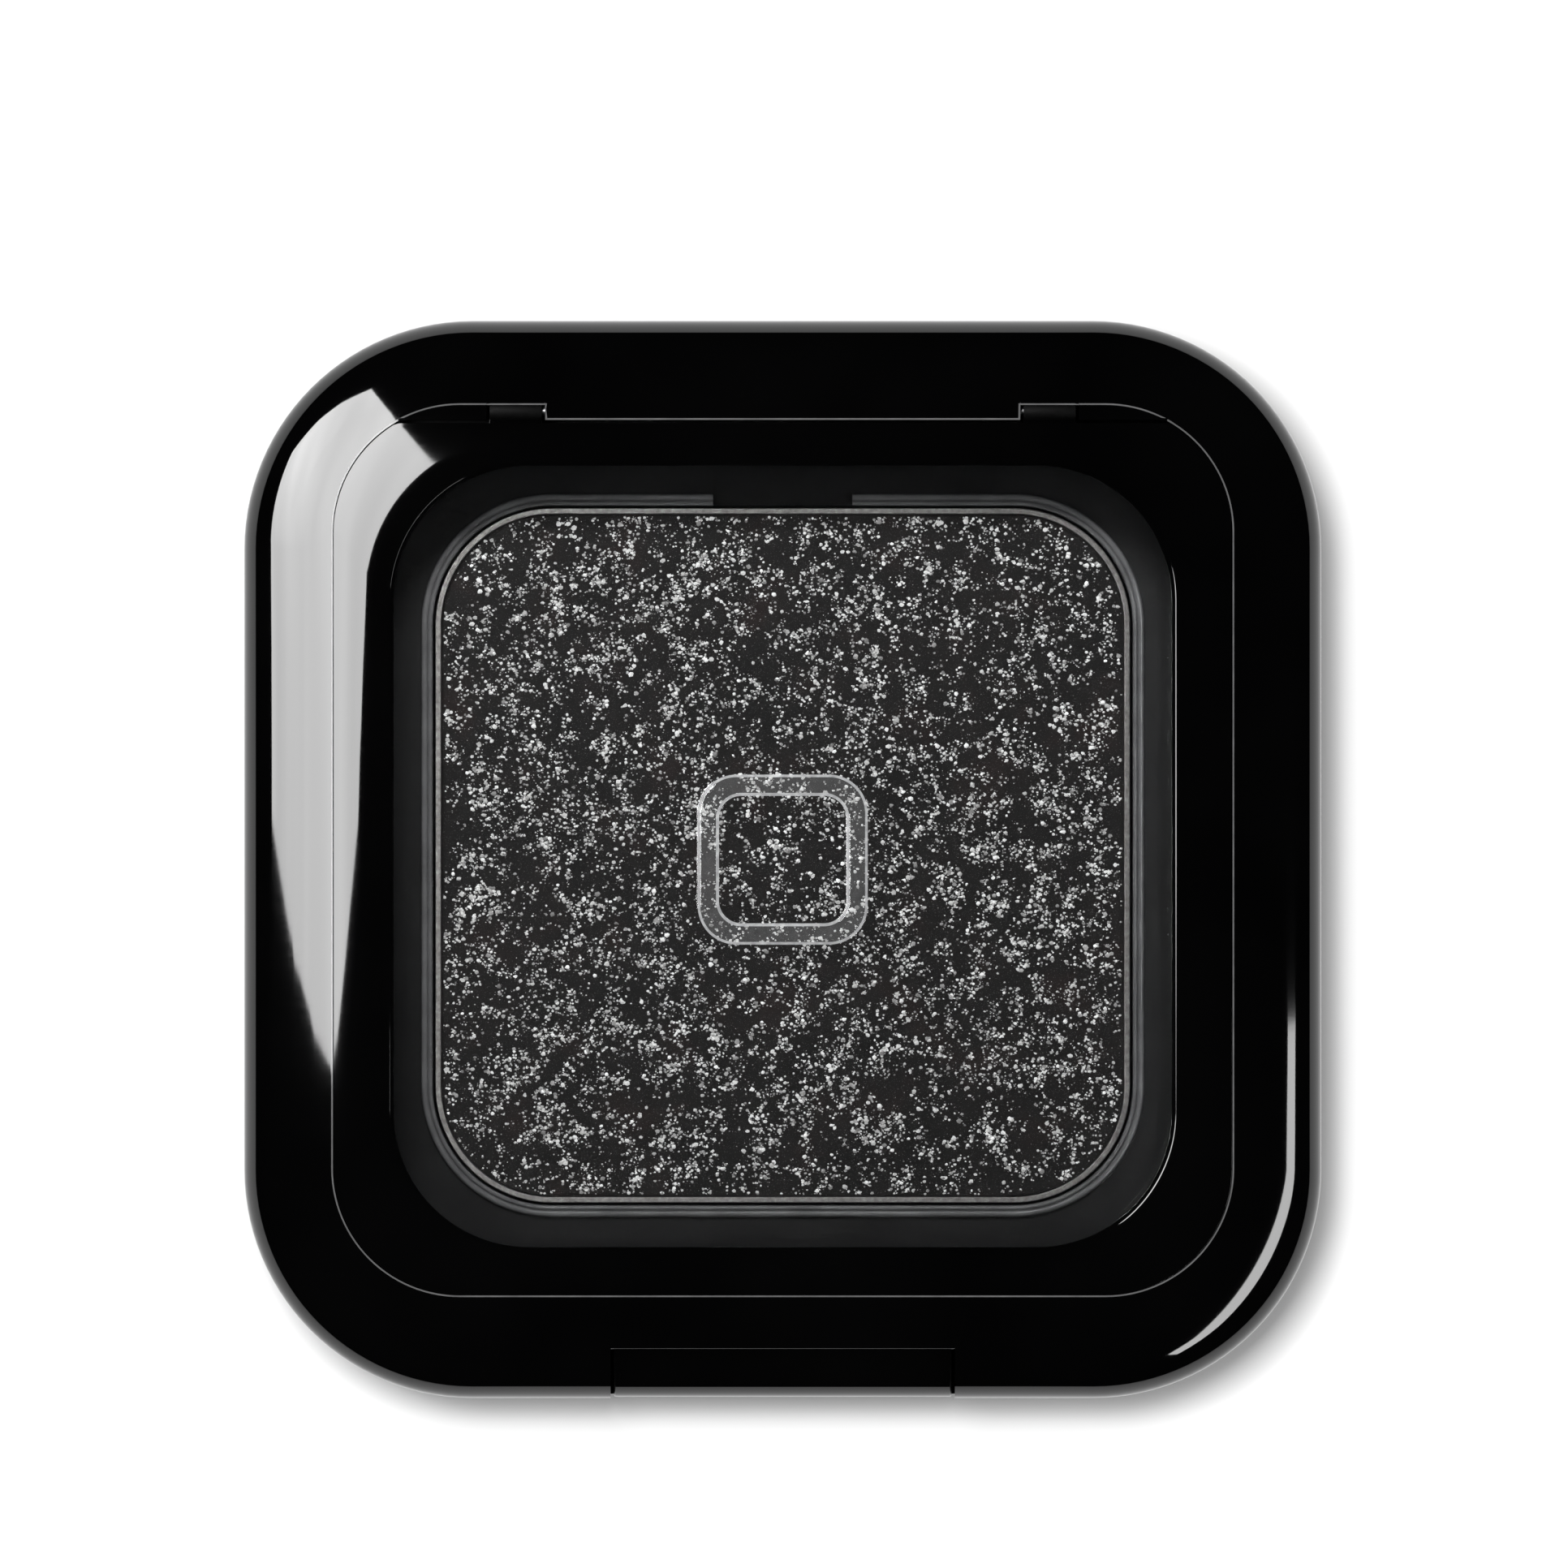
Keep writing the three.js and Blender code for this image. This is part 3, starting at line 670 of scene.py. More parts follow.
def make_outer_frame():
    """Border, side walls, hinge ledge, ear pockets and the thumb piece's opening in one skin."""
    rear = (SLOT_OUTER, SLOT_INNER)
    front = (NOTCH_SIDE,)
    opening = lid_outline(-LID_GAP)
    inner_wall = lid_outline(-LID_GAP - OPENING_WALL)
    skirt_bottom = 6.0
    channel_top = 11.0
    shoulder = 1.0
    shoulder_inset = 1.7
    foot_chamfer = 0.12
    notch_floor = BUTTON_LOW[2] - 0.1
    notch_roof = BUTTON_HIGH[2] + BUTTON_PLAY
    notch_back = -17.87
    notch_wall = 0.8
    rings = []
    cuts = []

    def lay(shape, height, cut=0.0, notch=None):
        points = ring(shape, height, rear, front)
        x, y = points[:, 0], points[:, 1]
        in_notch = (np.abs(x) < NOTCH_SIDE) & (y < -15)
        if notch is not None:
            points[in_notch, 1] = notch[0]
            points[in_notch, 2] = notch[1]
        rings.append(points)
        cuts.append(cut)

    lay(opening, skirt_bottom)
    lay(opening, LEDGE_BOTTOM - 0.01)
    rings.append(opening_ring(0, height=LEDGE_BOTTOM))
    cuts.append(0.0)
    wall = opening[1] + opening[3]
    reach = math.sqrt(POCKET_RADIUS ** 2 - (wall - HINGE_Y) ** 2)
    for fall in (reach, 0.6 * reach, 0.0, -0.6 * reach, -reach + 0.05):
        points = opening_ring(0, height=HINGE_Z - fall)
        x, y = points[:, 0], points[:, 1]
        in_slot = (np.abs(x) > SLOT_INNER) & (np.abs(x) < SLOT_OUTER) & (y > LEDGE_FRONT)
        points[in_slot, 1] = HINGE_Y + math.sqrt(POCKET_RADIUS ** 2 - fall ** 2)
        rings.append(points)
        cuts.append(0.0)
    for rise, ease in ((-0.01, 0.0), (0.0, 0.01), (0.0, 0.07), (0.0, 0.074)):
        rings.append(opening_ring(rise, ease))
        cuts.append(0.0)
    for near, far, depth in ((-0.004, 0.078, 0.0), (0.0, 0.082, 0.0), (0.006, 0.086, 0.012),
                             (0.012, 0.09, 0.0), (0.072, 0.094, 0.0), (0.076, 0.098, 0.0)):
        rings.append(seam_groove(near, far, depth))
        cuts.append(0.0)
    for inset in (2.78, 2.6, 2.4, 2.2):
        lay(case_outline(inset), dome)
    insets = edge_insets()
    lay(case_outline(insets[0]), dome, cut=0.05)
    hollow = [(SEAM_Y, notch_roof), (notch_back, notch_roof), (notch_back, notch_floor)]
    rest = insets[1 + len(hollow):]
    for inset, place in zip(insets[1:], hollow):
        lay(case_outline(inset), dome, notch=place)
    floor_y = np.linspace(notch_back, -CASE_HALF, len(rest) + 4)
    for inset, y in zip(rest, floor_y[1:]):
        lay(case_outline(inset), dome, notch=(y, notch_floor))
    lay(case_outline(0), WALL_TOP, notch=(floor_y[-3], notch_floor))
    lay(case_outline(0), WALL_TOP - 2.5, notch=(floor_y[-2], notch_floor))
    lay(case_outline(0), notch_floor, cut=0.06)
    lay(case_outline(0), PARTING + foot_chamfer)
    lay(case_outline(foot_chamfer), PARTING)
    wall_inside = case_outline(SIDE_WALL)
    lay(wall_inside, PARTING)
    low_roof = notch_floor - notch_wall
    lay(wall_inside, channel_top - shoulder, notch=(SIDE_WALL - CASE_HALF, low_roof - 0.1))
    lay(case_outline(shoulder_inset), channel_top, notch=(shoulder_inset - CASE_HALF, low_roof))
    wall_y = inner_wall[3] - inner_wall[1]
    lay(inner_wall, channel_top, notch=(wall_y, low_roof))
    lay(inner_wall, skirt_bottom)
    frame_piece = skin("case_frame", soften(rings, cuts, closed=True, steps=3), closed=True)
    stem_low, stem_high = STEM_BOTTOM - 0.15, STEM_TOP + 0.2
    window = block("stem_window", -STEM_PASSAGE, STEM_PASSAGE, -18.6, -16.5, stem_low, stem_high)
    combine(frame_piece, window, "DIFFERENCE")
    return frame_piece


def paint_frame(frame_piece, black, edge_highlight):
    """Gloss black, with a painted highlight in light grey on the fine edge that runs round the lid.
    """
    frame_piece.data.materials.append(black)
    frame_piece.data.materials.append(edge_highlight)
    lid_line = lid_outline(-LID_GAP)
    lowest = 11.9
    step_length = 0.7
    # Faces along the fine edge round the lid are marked for the painted highlight material.
    for face in frame_piece.data.polygons:
        x, y, z = (c / MM for c in face.center)
        if z < lowest or face.normal.z < 0.15:
            continue
        outward = float(distance_from(lid_line, x, y))
        over_end = abs(x) > SLOT_OUTER and y > LEDGE_FRONT + 0.08
        on_ledge = abs(x) < SLOT_INNER - 0.06 and y > LEDGE_FRONT - 0.01
        on_step = SLOT_INNER - 0.08 < abs(x) < SLOT_INNER + 0.01 and LEDGE_FRONT < y
        if on_ledge:
            painted_highlight = y < LEDGE_FRONT + 0.06
        elif on_step:
            painted_highlight = y < LEDGE_FRONT + step_length
        elif over_end:
            painted_highlight = 0.012 < outward < 0.072
        else:
            near_end = abs(x) > SLOT_OUTER and y > LEDGE_FRONT - 0.02
            painted_highlight = 0.008 < outward < 0.07 and not near_end
        if painted_highlight:
            face.material_index = 1
    finish_surface(frame_piece)


def make_bottom_cover():
    """Underside with a rounded edge, a foot ring and a shallow label recess."""
    recess_half = LABEL_HIGH[0] + 0.5
    recess_corner = 4
    recess_depth = 0.3
    recess = outline(recess_half, recess_half, recess_corner)
    inner = recess - [0.05, 0.05, 0.05, 0]
    rim = PARTING - 0.1
    rib_top = COVER_HIGH[2]
    rib_inside = case_outline(2.1)
    profile = [
        (inner, recess_depth, 0.0), (recess, 0.0, 0.08), (case_outline(1.9), 0.0, 0.9),
        (case_outline(0.25), 0.35, 0.8), (case_outline(0.2), rim, 0.08),
        (case_outline(1.4), rim, 0.0), (case_outline(1.45), rib_top, 0.15),
        (rib_inside, rib_top, 0.15), (rib_inside, PARTING, 0.0),
    ]
    cover = profile_skin("case_underside", profile, 8)
    finish_surface(cover)
    return cover


def make_inner_tray():
    """Deck, double bead, well and skirt, cut for the pry notch, the tongue and the stem."""
    well_floor = PAN_LOW[2] - 0.2
    wall = PAN_HALF + 0.1
    rim = TRAY_HIGH[2]
    foot = TRAY_LOW[2]
    deck_underside = DECK - 0.8
    bead_foot = DECK + 0.09
    outside = lid_outline(0.05)
    skirt = lid_outline(0.75)
    well_outside = well_outline(wall + 0.65)
    profile = [(well_outline(wall), well_floor, 0.0), (well_outline(wall), DECK + 0.02, 0.0)]
    for middle, half, rise in ((0.1, 0.09, 0.14), (0.32, 0.12, 0.13)):
        for turn in np.linspace(math.radians(170), math.radians(10), 11):
            place = wall + middle + half * math.cos(turn)
            profile.append((well_outline(place), bead_foot + rise * math.sin(turn), 0.0))
    profile += [
        (well_outline(wall + 0.46), DECK, 0.04), (lid_outline(0.85), DECK, 0.06),
        (skirt, rim, 0.06), (outside, rim, 0.06), (outside, foot, 0.1), (skirt, foot, 0.1),
        (skirt, deck_underside, 0.2), (well_outside, deck_underside, 0.2),
        (well_outside, foot + 3.8, 0.3),
    ]
    tray = profile_skin("tray", profile, 3)
    notch_half = 2.72
    notch_front = PAN_CENTRE_Y + PAN_HALF - 0.1
    slot_half = TONGUE_HALF + 0.3
    slot_bottom = 5.2
    above, outward = 12, -20
    cuts = [
        ("pry_notch", -notch_half, notch_half, notch_front, 16.3, DECK - 0.35, above),
        ("tongue_slot", -slot_half, slot_half, outward, -15.3, slot_bottom, above),
        ("stem_slot", -STEM_PASSAGE, STEM_PASSAGE, outward, -14.3, slot_bottom, deck_underside),
    ]
    for cut in cuts:
        combine(tray, block(*cut), "DIFFERENCE")
    return tray


def paint_tray(tray, deck, bead):
    """Deck material everywhere except the bead around the pan, which gets the lighter painted-sheen
    material.
    """
    tray.data.materials.append(deck)
    tray.data.materials.append(bead)
    inner = PAN_HALF + 0.08
    outer = PAN_HALF + 0.56
    for face in tray.data.polygons:
        x, y, z = (c / MM for c in face.center)
        gap = float(distance_from(well_outline(PAN_HALF), x, y)) + PAN_HALF
        if inner < gap < outer and z > DECK + 0.02:
            face.material_index = 1
    finish_surface(tray)


def make_button():
    """Thumb piece with its stem and catch bar."""
    bottom, top = BUTTON_LOW[2], BUTTON_HIGH[2]
    face_y = BUTTON_LOW[1]
    crown_foot = 9.5
    radius = 1.35
    turn = np.linspace(0, math.radians(66), 9)
    crown = [(face_y + radius * (1 - math.cos(a)), crown_foot + radius * math.sin(a)) for a in turn]
    lip_back, skin_back = -18.7, -19.8
    section = [
        (face_y, bottom), (face_y, 7.0), *crown, (-19.5, top - 0.15), (-19.1, top - 0.02),
        (lip_back, top), (lip_back, top - 0.8), (skin_back, top - 1.2), (skin_back, 8.0),
        (skin_back, bottom),
    ]
    button = prism("thumb_piece", section, BUTTON_LOW[0], BUTTON_HIGH[0])
    low, high = STEM_BOTTOM, STEM_TOP
    arm_inner = 2.7
    bar_back = BUTTON_HIGH[1]
    bar_front = bar_back - 0.4
    stem = block("stem", -STEM_HALF, STEM_HALF, skin_back - 0.1, bar_back, low, high)
    hole = block("stem_hole", -arm_inner, arm_inner, skin_back + 0.2, bar_front, low - 1, high + 1)
    combine(stem, hole, "DIFFERENCE")
    combine(button, stem, "UNION")
    bevel_edges(button, 0.06)
    finish_surface(button, 50, True)
    return button


def make_spring():
    """Bowed strip behind the thumb piece."""
    low, high = box_mm("button_spring")
    thickness = 0.15
    steps = 32
    x = np.linspace(low[0], high[0], steps + 1)
    bow = (high[1] - thickness - low[1]) * (1 - (x / high[0]) ** 2)
    front = high[1] - thickness - bow
    rings = []
    for i in range(steps + 1):
        y0, y1 = front[i], front[i] + thickness
        corners = ((y0, low[2]), (y1, low[2]), (y1, high[2]), (y0, high[2]))
        rings.append(np.array([(x[i], y, z) for y, z in corners]))
    spring = skin("return_spring", rings)
    bevel_edges(spring, 0.03)
    finish_surface(spring, 38, True)
    return spring


def make_pins():
    """The two hinge pins, with eased ends."""
    pins = []
    for side in ("right", "left"):
        low, high = box_mm("hinge_pin_" + side)
        radius = (high[2] - low[2]) / 2
        pin = rod("pin_" + side, HINGE_Y, HINGE_Z, radius, low[0], high[0], 0.06)
        finish_surface(pin)
        pins.append((pin, "hinge_pin_" + side))
    return pins


# ---- pan and powder ----------------------------------------------------------------------------

def make_pan():
    """Thin pan with a rolled lip."""
    inside = PAN_HALF - PAN_WALL
    base, top = PAN_LOW[2], PAN_HIGH[2]
    floor = base + 0.25
    lip_round = 0.035
    profile = [
        (well_outline(PAN_HALF - 0.5), base, 0.0), (well_outline(PAN_HALF), base, 0.4),
        (well_outline(PAN_HALF), top, lip_round), (well_outline(inside), top, lip_round),
        (well_outline(inside), floor, 0.3), (well_outline(inside - 0.5), floor, 0.0),
    ]
    pan = profile_skin("pan", profile, 6)
    finish_surface(pan)
    return pan


def cake_height(x, y):
    """Small rises and grain of the pressed surface, in millimetres."""
    slow = noise.noise(Vector((x * 0.35, y * 0.35, 3.1)))
    grain = noise.noise(Vector((x * 5.0, y * 5.0, 7.7)))
    fine = noise.noise(Vector((x * 11.0, y * 11.0, 1.3)))
    return 0.025 * slow + 0.03 * grain + 0.018 * fine


def make_cake():
    """Pressed powder with a grainy top that falls away at its edge."""
    half = CAKE_HIGH[0] + 0.04
    corner = PAN_CORNER - (PAN_HALF - half)
    top = CAKE_HIGH[2] - 0.04
    base = CAKE_LOW[2]
    count = 230
    shape = outline(half, half, corner, PAN_CENTRE_Y)
    edge_fall, edge_width = 0.05, 0.08
    points = []
    for y in np.linspace(-half, half, count):
        over = max(abs(y) - (half - corner), 0)
        width = half - corner + math.sqrt(max(corner ** 2 - over ** 2, 0))
        for x in np.linspace(-width, width, count):
            inset = -float(distance_from(shape, x, y + PAN_CENTRE_Y))
            fall = edge_fall * math.exp(-inset / edge_width)
            points.append((x, y + PAN_CENTRE_Y, top - fall + cake_height(x, y)))
    starts = [r * count + c for r in range(count - 1) for c in range(count - 1)]
    faces = [(i, i + 1, i + count + 1, i + count) for i in starts]
    border = list(range(count))
    border += [r * count + count - 1 for r in range(1, count)]
    border += [(count - 1) * count + c for c in range(count - 2, -1, -1)]
    border += [r * count for r in range(count - 2, 0, -1)]
    first = len(points)
    points.extend([(points[i][0], points[i][1], base) for i in border])
    total = len(border)
    for i in range(total):
        j = (i + 1) % total
        faces.append((border[j], border[i], first + i, first + j))
    faces.append(tuple(first + i for i in range(total)))
    cake = mesh_object("powder", points, faces)
    cake.data.polygons.foreach_set("use_smooth", [True] * len(cake.data.polygons))
    cake.data.set_sharp_from_angle(angle=math.radians(60))
    return cake, top


def flake_places(draw, shape, half, wanted):
    """Middles and sizes of grains, most of them in small tight clusters."""
    usual_size, largest = 0.05, 0.12
    most_members = 16
    places = []
    while len(places) < wanted:
        x, y = draw.uniform(-half, half, 2)
        y += PAN_CENTRE_Y
        chance = noise.noise(Vector((x * 0.8, y * 0.8, 12.0)))
        chance += 0.7 * noise.noise(Vector((x * 2.4, y * 2.4, 5.0)))
        if draw.random() > 0.6 + 0.4 * chance:
            continue
        members = int(min(draw.geometric(0.2), most_members))
        spread = 0.045 * math.sqrt(members)
        for _ in range(members):
            size = min(usual_size * math.exp(draw.normal(0.0, 0.4)), largest)
            if members < 3:
                size *= 0.75
            px, py = x + draw.normal(0, spread), y + draw.normal(0, spread)
            if float(distance_from(shape, px, py)) < -size - 0.01:
                places.append((px, py, size))
    return places


def make_flakes(name, seed, wanted, top):
    """Thousands of small silver grains lying in the powder."""
    draw = np.random.default_rng(seed)
    half = CAKE_HIGH[0]
    corner = PAN_CORNER - (PAN_HALF - half)
    shape = outline(half, half, corner, PAN_CENTRE_Y)
    sunk = 0.012
    points = []
    faces = []
    for x, y, size in flake_places(draw, shape, half, wanted):
        sides = 6 if size > 0.045 else 5
        turn = draw.uniform(0, 2 * math.pi)
        stretch = draw.uniform(0.75, 1.0)
        level = top + cake_height(x, y - PAN_CENTRE_Y)
        lift = size * draw.uniform(0.35, 0.8)
        start = len(points)
        for k in range(sides):
            angle = turn + 2 * math.pi * (k + draw.uniform(-0.25, 0.25)) / sides
            reach = size * draw.uniform(0.8, 1.12)
            px = x + reach * math.cos(angle)
            py = y + reach * math.sin(angle) * stretch
            points.append((px, py, level - sunk))
        px = x + draw.normal(0, 0.18) * size
        py = y + draw.normal(0, 0.18) * size
        points.append((px, py, level + lift))
        faces.extend([(start + k, start + (k + 1) % sides, start + sides) for k in range(sides)])
        faces.append(tuple(start + k for k in range(sides - 1, -1, -1)))
    return add_object(name, plain_mesh(name, points, faces))


def make_pad():
    """Round foam pad, slightly squashed at its edges."""
    low, high = box_mm("adhesive_pad")
    bottom, top = low[2], high[2]
    edge = 0.03
    rings = []
    for share, z in ((0.985, bottom), (1.0, bottom + edge), (1.0, top - edge), (0.985, top)):
        size = high[0] * share
        rings.append(ring(outline(size, size, size - 0.01, PAN_CENTRE_Y), z))
    pad = skin("foam_pad", rings)
    finish_surface(pad)
    return pad


def make_label():
    """Blank film label in the underside's recess."""
    shape = outline(LABEL_HIGH[0], LABEL_HIGH[1], 3.5)
    rings = [ring(shape, LABEL_LOW[2]), ring(shape, LABEL_HIGH[2])]
    label = skin("underside_label", rings)
    bevel_edges(label, 0.03, 60)
    finish_surface(label, 38, True)
    return label


# ---- lid ---------------------------------------------------------------------------------------

def make_lid_frame():
    """Flush lid frame: domed top, window lip and rabbet, hinge ears and catch tongue."""
    start = window_outline(-WINDOW_RELIEF)
    end = lid_outline(-LID_EDGE)
    rabbet = window_outline(-0.82)
    lower_rear = LID_REAR - 0.14
    first = ring(start, 0)[:, 1]
    last = ring(end, 0)[:, 1]
    over = last > LID_REAR
    share = (LID_REAR - first) / np.where(over, last - first, 1)
    lip = window_outline(0)
    rings = [ring(lip, LIP_BOTTOM), ring(lip, CASE_HEIGHT - WINDOW_RELIEF)]
    soft, crisp = 0.05, 0.015
    cuts = [0.0, soft]
    steps = 14
    for i in range(steps + 1):
        points = ring(start + (end - start) * i / steps, 0)
        points[over, 1] = (first + (points[:, 1] - first) * share)[over]
        points[:, 2] = dome(points[:, 0], points[:, 1])
        rings.append(points)
        cuts.append(soft if i == 0 else crisp if i == steps else 0.0)
    for inset, z, cut in ((0.02, HINGE_Z, 0.0), (0.1, LID_BOTTOM, 0.1)):
        points = ring(lid_outline(inset), z)
        points[:, 1] = np.minimum(points[:, 1], lower_rear)
        rings.append(points)
        cuts.append(cut)
    rings.append(ring(rabbet, LID_BOTTOM))
    rings.append(ring(rabbet, LIP_BOTTOM))
    cuts += [soft, 0.0]
    lid = skin("lid_border", soften(rings, cuts, closed=True, steps=3), closed=True)
    add_ears(lid)
    combine(lid, catch_tongue(), "UNION")
    finish_surface(lid)
    return lid


def add_ears(lid):
    """Two hinge ears, each a bored knuckle on a short arm."""
    arm_rise = 0.1
    arm_front = LID_REAR - 0.3
    bore = 0.24
    radius = KNUCKLE_RADIUS
    turn = np.linspace(math.pi - math.asin(arm_rise / radius), -math.pi / 2, 30)
    knuckle = [(HINGE_Y + radius * math.cos(a), HINGE_Z + radius * math.sin(a)) for a in turn]
    section = [(arm_front, HINGE_Z - radius), (arm_front, HINGE_Z + arm_rise), *knuckle]
    for x0, x1 in ((EAR_INNER, EAR_OUTER), (-EAR_OUTER, -EAR_INNER)):
        combine(lid, prism("ear", section, x0, x1, 0.02), "UNION")
        combine(lid, rod("ear_bore", HINGE_Y, HINGE_Z, bore, x0 - 1, x1 + 1), "DIFFERENCE")


def catch_tongue():
    """Tapering tongue with a rounded nose, from (y, z) points."""
    front, back = -16.7, -15.98
    root_top, root_bottom = LID_BOTTOM + 0.3, LID_BOTTOM - 0.3
    nose = [(-16.48, 6.9), (-16.35, 6.65), (-16.1, 6.6), (-15.95, 6.62), (-15.62, 6.92),
            (-15.6, 7.1), (-15.63, 7.28)]
    section = [(front, root_top), (front, root_bottom), *nose, (back, 7.45), (back, root_top)]
    return prism("tongue", section, -TONGUE_HALF, TONGUE_HALF, 0.08)


def paint_lid(lid, gloss, dull):
    """Gloss black, with the hinge ears left unpolished."""
    lid.data.materials.append(gloss)
    lid.data.materials.append(dull)
    for face in lid.data.polygons:
        if face.center.y / MM > LID_REAR + 0.02:
            face.material_index = 1


def make_window():
    """Clear window with its flange and a plain raised rounded-square emblem."""
    low = WINDOW_LOW[2]
    rise = WINDOW_FACE + EMBLEM_RISE
    big = outline(3.3, 3.3, 1.5)
    small = outline(2.5, 2.5, 0.9)
    ease = np.array([0.09, 0.09, 0.09, 0])
    chamfer = 0.1
    soft = 0.05
    flange = window_outline(-FLANGE)
    flange_top = LIP_BOTTOM - 0.1
    pane = window_outline(WINDOW_GAP)
    profile = [
        (window_outline(chamfer - FLANGE), low, 0.0), (flange, low + chamfer, soft),
        (flange, flange_top, 0.06), (pane, flange_top, 0.04), (pane, WINDOW_FACE, 0.0),
        (big, WINDOW_FACE, soft), (big - ease, rise, soft), (small + ease, rise, soft),
        (small, WINDOW_FACE, soft), (small - ease, WINDOW_FACE, 0.0),
    ]
    return profile_skin("lid_pane", profile, 4)


def paint_window(pane, clear, frosted, edge):
    """Frosted top on the emblem and a painted highlight on its sloped edges, clear everywhere else.
    """
    for material in (clear, frosted, edge):
        pane.data.materials.append(material)
    reach = 4
    for face in pane.data.polygons:
        x, y, z = (c / MM for c in face.center)
        if abs(x) > reach or abs(y) > reach or z < WINDOW_FACE + 0.002:
            continue
        # Sloped emblem faces get the whiter, hazier copy of the plastic: a painted highlight.
        face.material_index = 1 if face.normal.z > 0.93 else 2
    finish_surface(pane)


# ---- the object --------------------------------------------------------------------------------

def build_object():
    """Makes every piece and returns the ones that lie in the well."""
    black = gloss_black()
    satin = satin_black()
    metal = steel()
    frame_piece = make_outer_frame()
    paint_frame(frame_piece, black, edge_painted_highlight())
    settle(frame_piece, "case", ["outer_frame"], [])
    settle(make_bottom_cover(), "case", ["bottom_cover"], [satin])
    tray = make_inner_tray()
    paint_tray(tray, satin, bead_with_painted_sheen())
    settle(tray, "case", ["inner_tray"], [])
    settle(make_button(), "button", ["release_button"], [black])
    settle(make_spring(), "case", ["button_spring"], [metal])
    for pin, node in make_pins():
        settle(pin, "case", [node], [metal])
    pan = settle(make_pan(), "case", ["powder_pan"], [pan_aluminium()])
    cake, top = make_cake()
    settle(cake, "case", ["powder_cake"], [powder_base()])
    silver = glitter()
    flakes = []
    for name, seed in (("powder_glitter_a", 41), ("powder_glitter_b", 97)):
        grains = make_flakes(name, seed, GRAINS_PER_PIECE, top)
        grains.data.materials.append(silver)
        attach(grains, "case")
        flakes.append(grains)
    settle(make_pad(), "case", ["adhesive_pad"], [foam_pad()])
    settle(make_label(), "case", ["bottom_label"], [label_film()])
    lid = make_lid_frame()
    paint_lid(lid, black, dull_black())
    settle(lid, "lid", ["lid_frame"], [])
    pane = make_window()
    paint_window(
        pane,
        clear_plastic("clear_window", (0.5, 0.51, 0.52), 0.0, 0.003),
        clear_plastic("frosted_emblem", (0.62, 0.63, 0.64), 0.06, 0.09),
        # The emblem's edges: frosted plastic made whiter and hazier as a painted highlight.
        clear_plastic("emblem_edge_painted_highlight", (0.85, 0.86, 0.87), 0.4, 0.6),
    )
    settle(pane, "lid", ["lid_window"], [])
    return [tray, pan, cake, *flakes]


# ---- studio ------------------------------------------------------------------------------------

def make_floor():
    """White table."""
    size = 3000
    corners = [(-size, -size, 0), (size, -size, 0), (size, size, 0), (-size, size, 0)]
    floor = add_object("table", plain_mesh("table", corners, [(0, 1, 2, 3)]))
    material, tree, shader = new_material("white_table")
    cloud = noise_value(tree, texture_place(tree), 0.01, 2)
    colour = ramp(tree, cloud, [(0.0, (0.86, 0.86, 0.86)), (1.0, (0.88, 0.88, 0.88))])
    tree.links.new(colour, shader.inputs["Base Color"])
    shader.inputs["Roughness"].default_value = 0.9
    shader.inputs["Specular IOR Level"].default_value = 0.1
    floor.data.materials.append(material)


def area_light(name, place, target, size, power, seen):
    """A soft panel; seen says whether gloss shows it."""
    data = bpy.data.lights.new(name, "AREA")
    data.shape = "RECTANGLE"
    data.size, data.size_y = size
    data.energy = power
    lamp = add_object(name, data)
    lamp.location = place
    lamp.rotation_euler = (Vector(target) - Vector(place)).to_track_quat("-Z", "Y").to_euler()
    lamp.visible_glossy = seen
    lamp.visible_camera = False
    return lamp


def card(name, corners, strength, fade=None):
    """A glowing reflector card given by its corners in millimetres; only gloss sees it."""
    mesh = plain_mesh(name, corners, [tuple(range(len(corners)))])
    obj = add_object(name, mesh)
    material = bpy.data.materials.new(name)
    material.use_nodes = True
    tree = material.node_tree
    tree.nodes.clear()
    output = tree.nodes.new("ShaderNodeOutputMaterial")
    glow = tree.nodes.new("ShaderNodeEmission")
    glow.inputs["Strength"].default_value = strength
    tree.links.new(glow.outputs[0], output.inputs["Surface"])
    if fade:
        fade(tree, glow)
    mesh.materials.append(material)
    obj.visible_camera = False
    obj.visible_diffuse = False
    obj.visible_shadow = False
    obj.visible_transmission = False
    return obj


def link_light(lamp, pieces, name):
    """Lets a lamp light only some pieces."""
    lit = bpy.data.collections.new(name)
    for piece in pieces:
        lit.objects.link(piece)
    lamp.light_linking.receiver_collection = lit


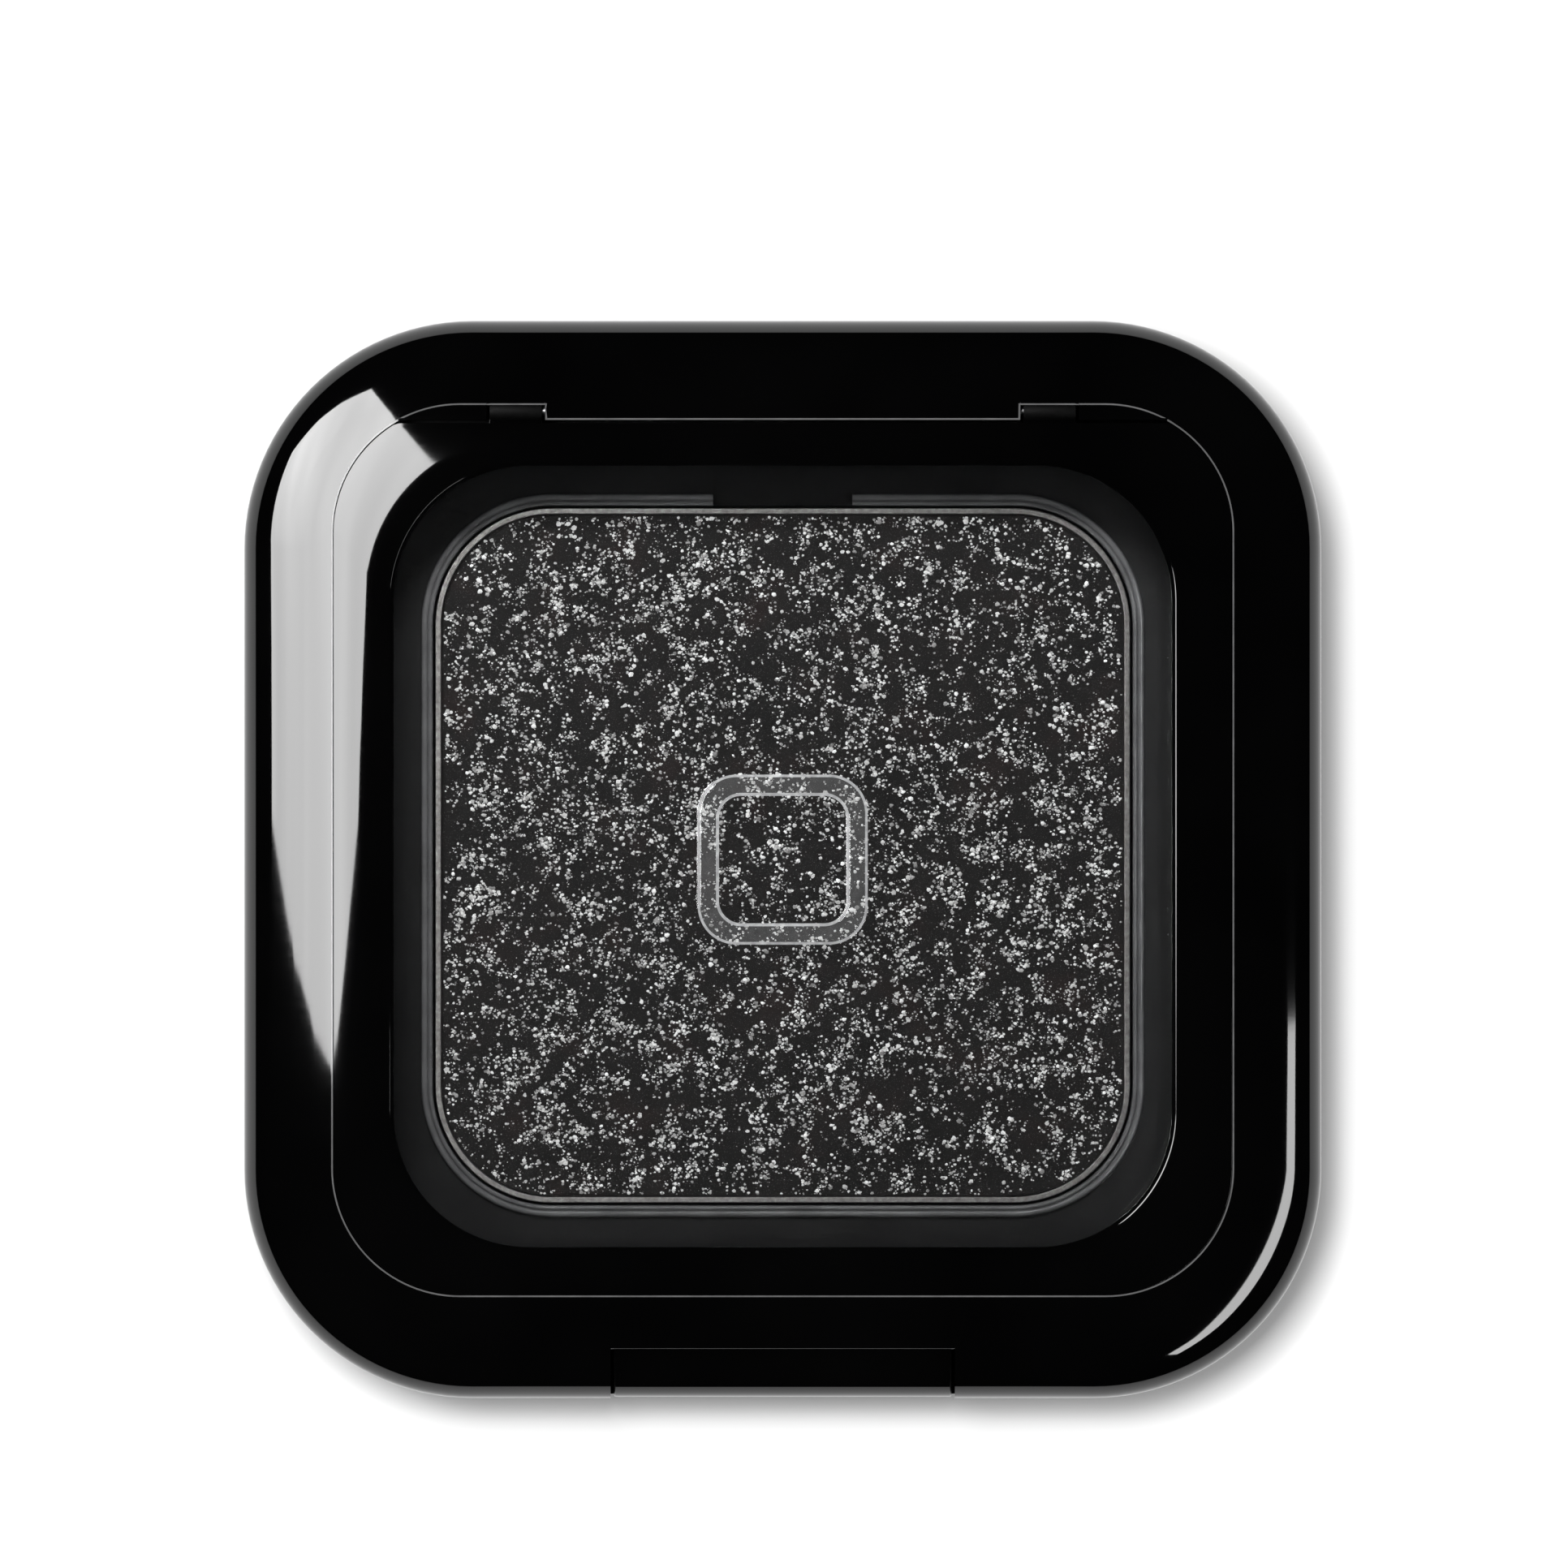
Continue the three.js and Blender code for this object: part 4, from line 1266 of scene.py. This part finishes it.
def soft_bands(tree, glow):
    """Makes a card dimmer towards its near end, with faint bands across it."""
    where = texture_place(tree)
    split = tree.nodes.new("ShaderNodeSeparateXYZ")
    tree.links.new(where, split.inputs[0])
    along = remap(tree, split.outputs["Y"], -10, 120, 0.7, 1.0)
    band = noise_value(tree, texture_place(tree, (1, 0.3, 1)), 0.018, 2)
    share = product(tree, along, remap(tree, band, 0.3, 0.7, 0.85, 1.15))
    strength = tree.nodes.new("ShaderNodeMath")
    strength.operation = "MULTIPLY"
    strength.inputs[1].default_value = glow.inputs["Strength"].default_value
    tree.links.new(share, strength.inputs[0])
    tree.links.new(strength.outputs[0], glow.inputs["Strength"])


def make_lights(well_pieces):
    """Soft key from above, a small lamp for the well and two cards that the gloss shows."""
    overhead = area_light("overhead", (-0.052, 0.052, 0.75), (0, 0, 0), (0.105, 0.105), 5.0, False)
    dim = well_pieces[:1]
    others = [o for o in bpy.context.scene.objects if o.type == "MESH" and o not in dim]
    link_light(overhead, others, "lit from overhead")
    well_light = area_light("well_light", (-0.05, 0.3, 0.31), (0, 0, 0.01), (0.24, 0.12), 5.2, True)
    link_light(well_light, well_pieces, "lit in the well")
    height = 200
    left = [(-24, 30, height), (-104, 150, height), (-225, 130, height), (-225, 1, height),
            (-88, -13, height), (-46, 1, height)]
    softbox = card("left_softbox", left, 18, soft_bands)
    link_light(softbox, others, "lit by the softbox")
    right = [(235, -10, height), (205, -10, height), (90, -190, height), (110, -215, height)]
    card("right_strip", right, 11)
    world = bpy.data.worlds.new("studio")
    bpy.context.scene.world = world
    world.use_nodes = True
    world.node_tree.nodes["Background"].inputs["Color"].default_value = (0.95, 0.95, 0.95, 1)
    world.node_tree.nodes["Background"].inputs["Strength"].default_value = 0.58
    world.cycles_visibility.glossy = False


def make_camera():
    """Long lens looking straight down, a little behind the compact's middle."""
    frame_width = 61.15 * MM
    centre = (0.05 * MM, 2.94 * MM)
    data = bpy.data.cameras.new("camera")
    data.lens = 500
    data.sensor_width = 36
    distance = data.lens / data.sensor_width * frame_width
    data.clip_start = 0.01
    data.clip_end = 100
    camera = add_object("camera", data)
    camera.location = (*centre, WALL_TOP * MM + distance)
    bpy.context.scene.camera = camera


make_camera()
well_pieces = build_object()
make_floor()
make_lights(well_pieces)
bpy.context.scene.view_settings.view_transform = "Standard"
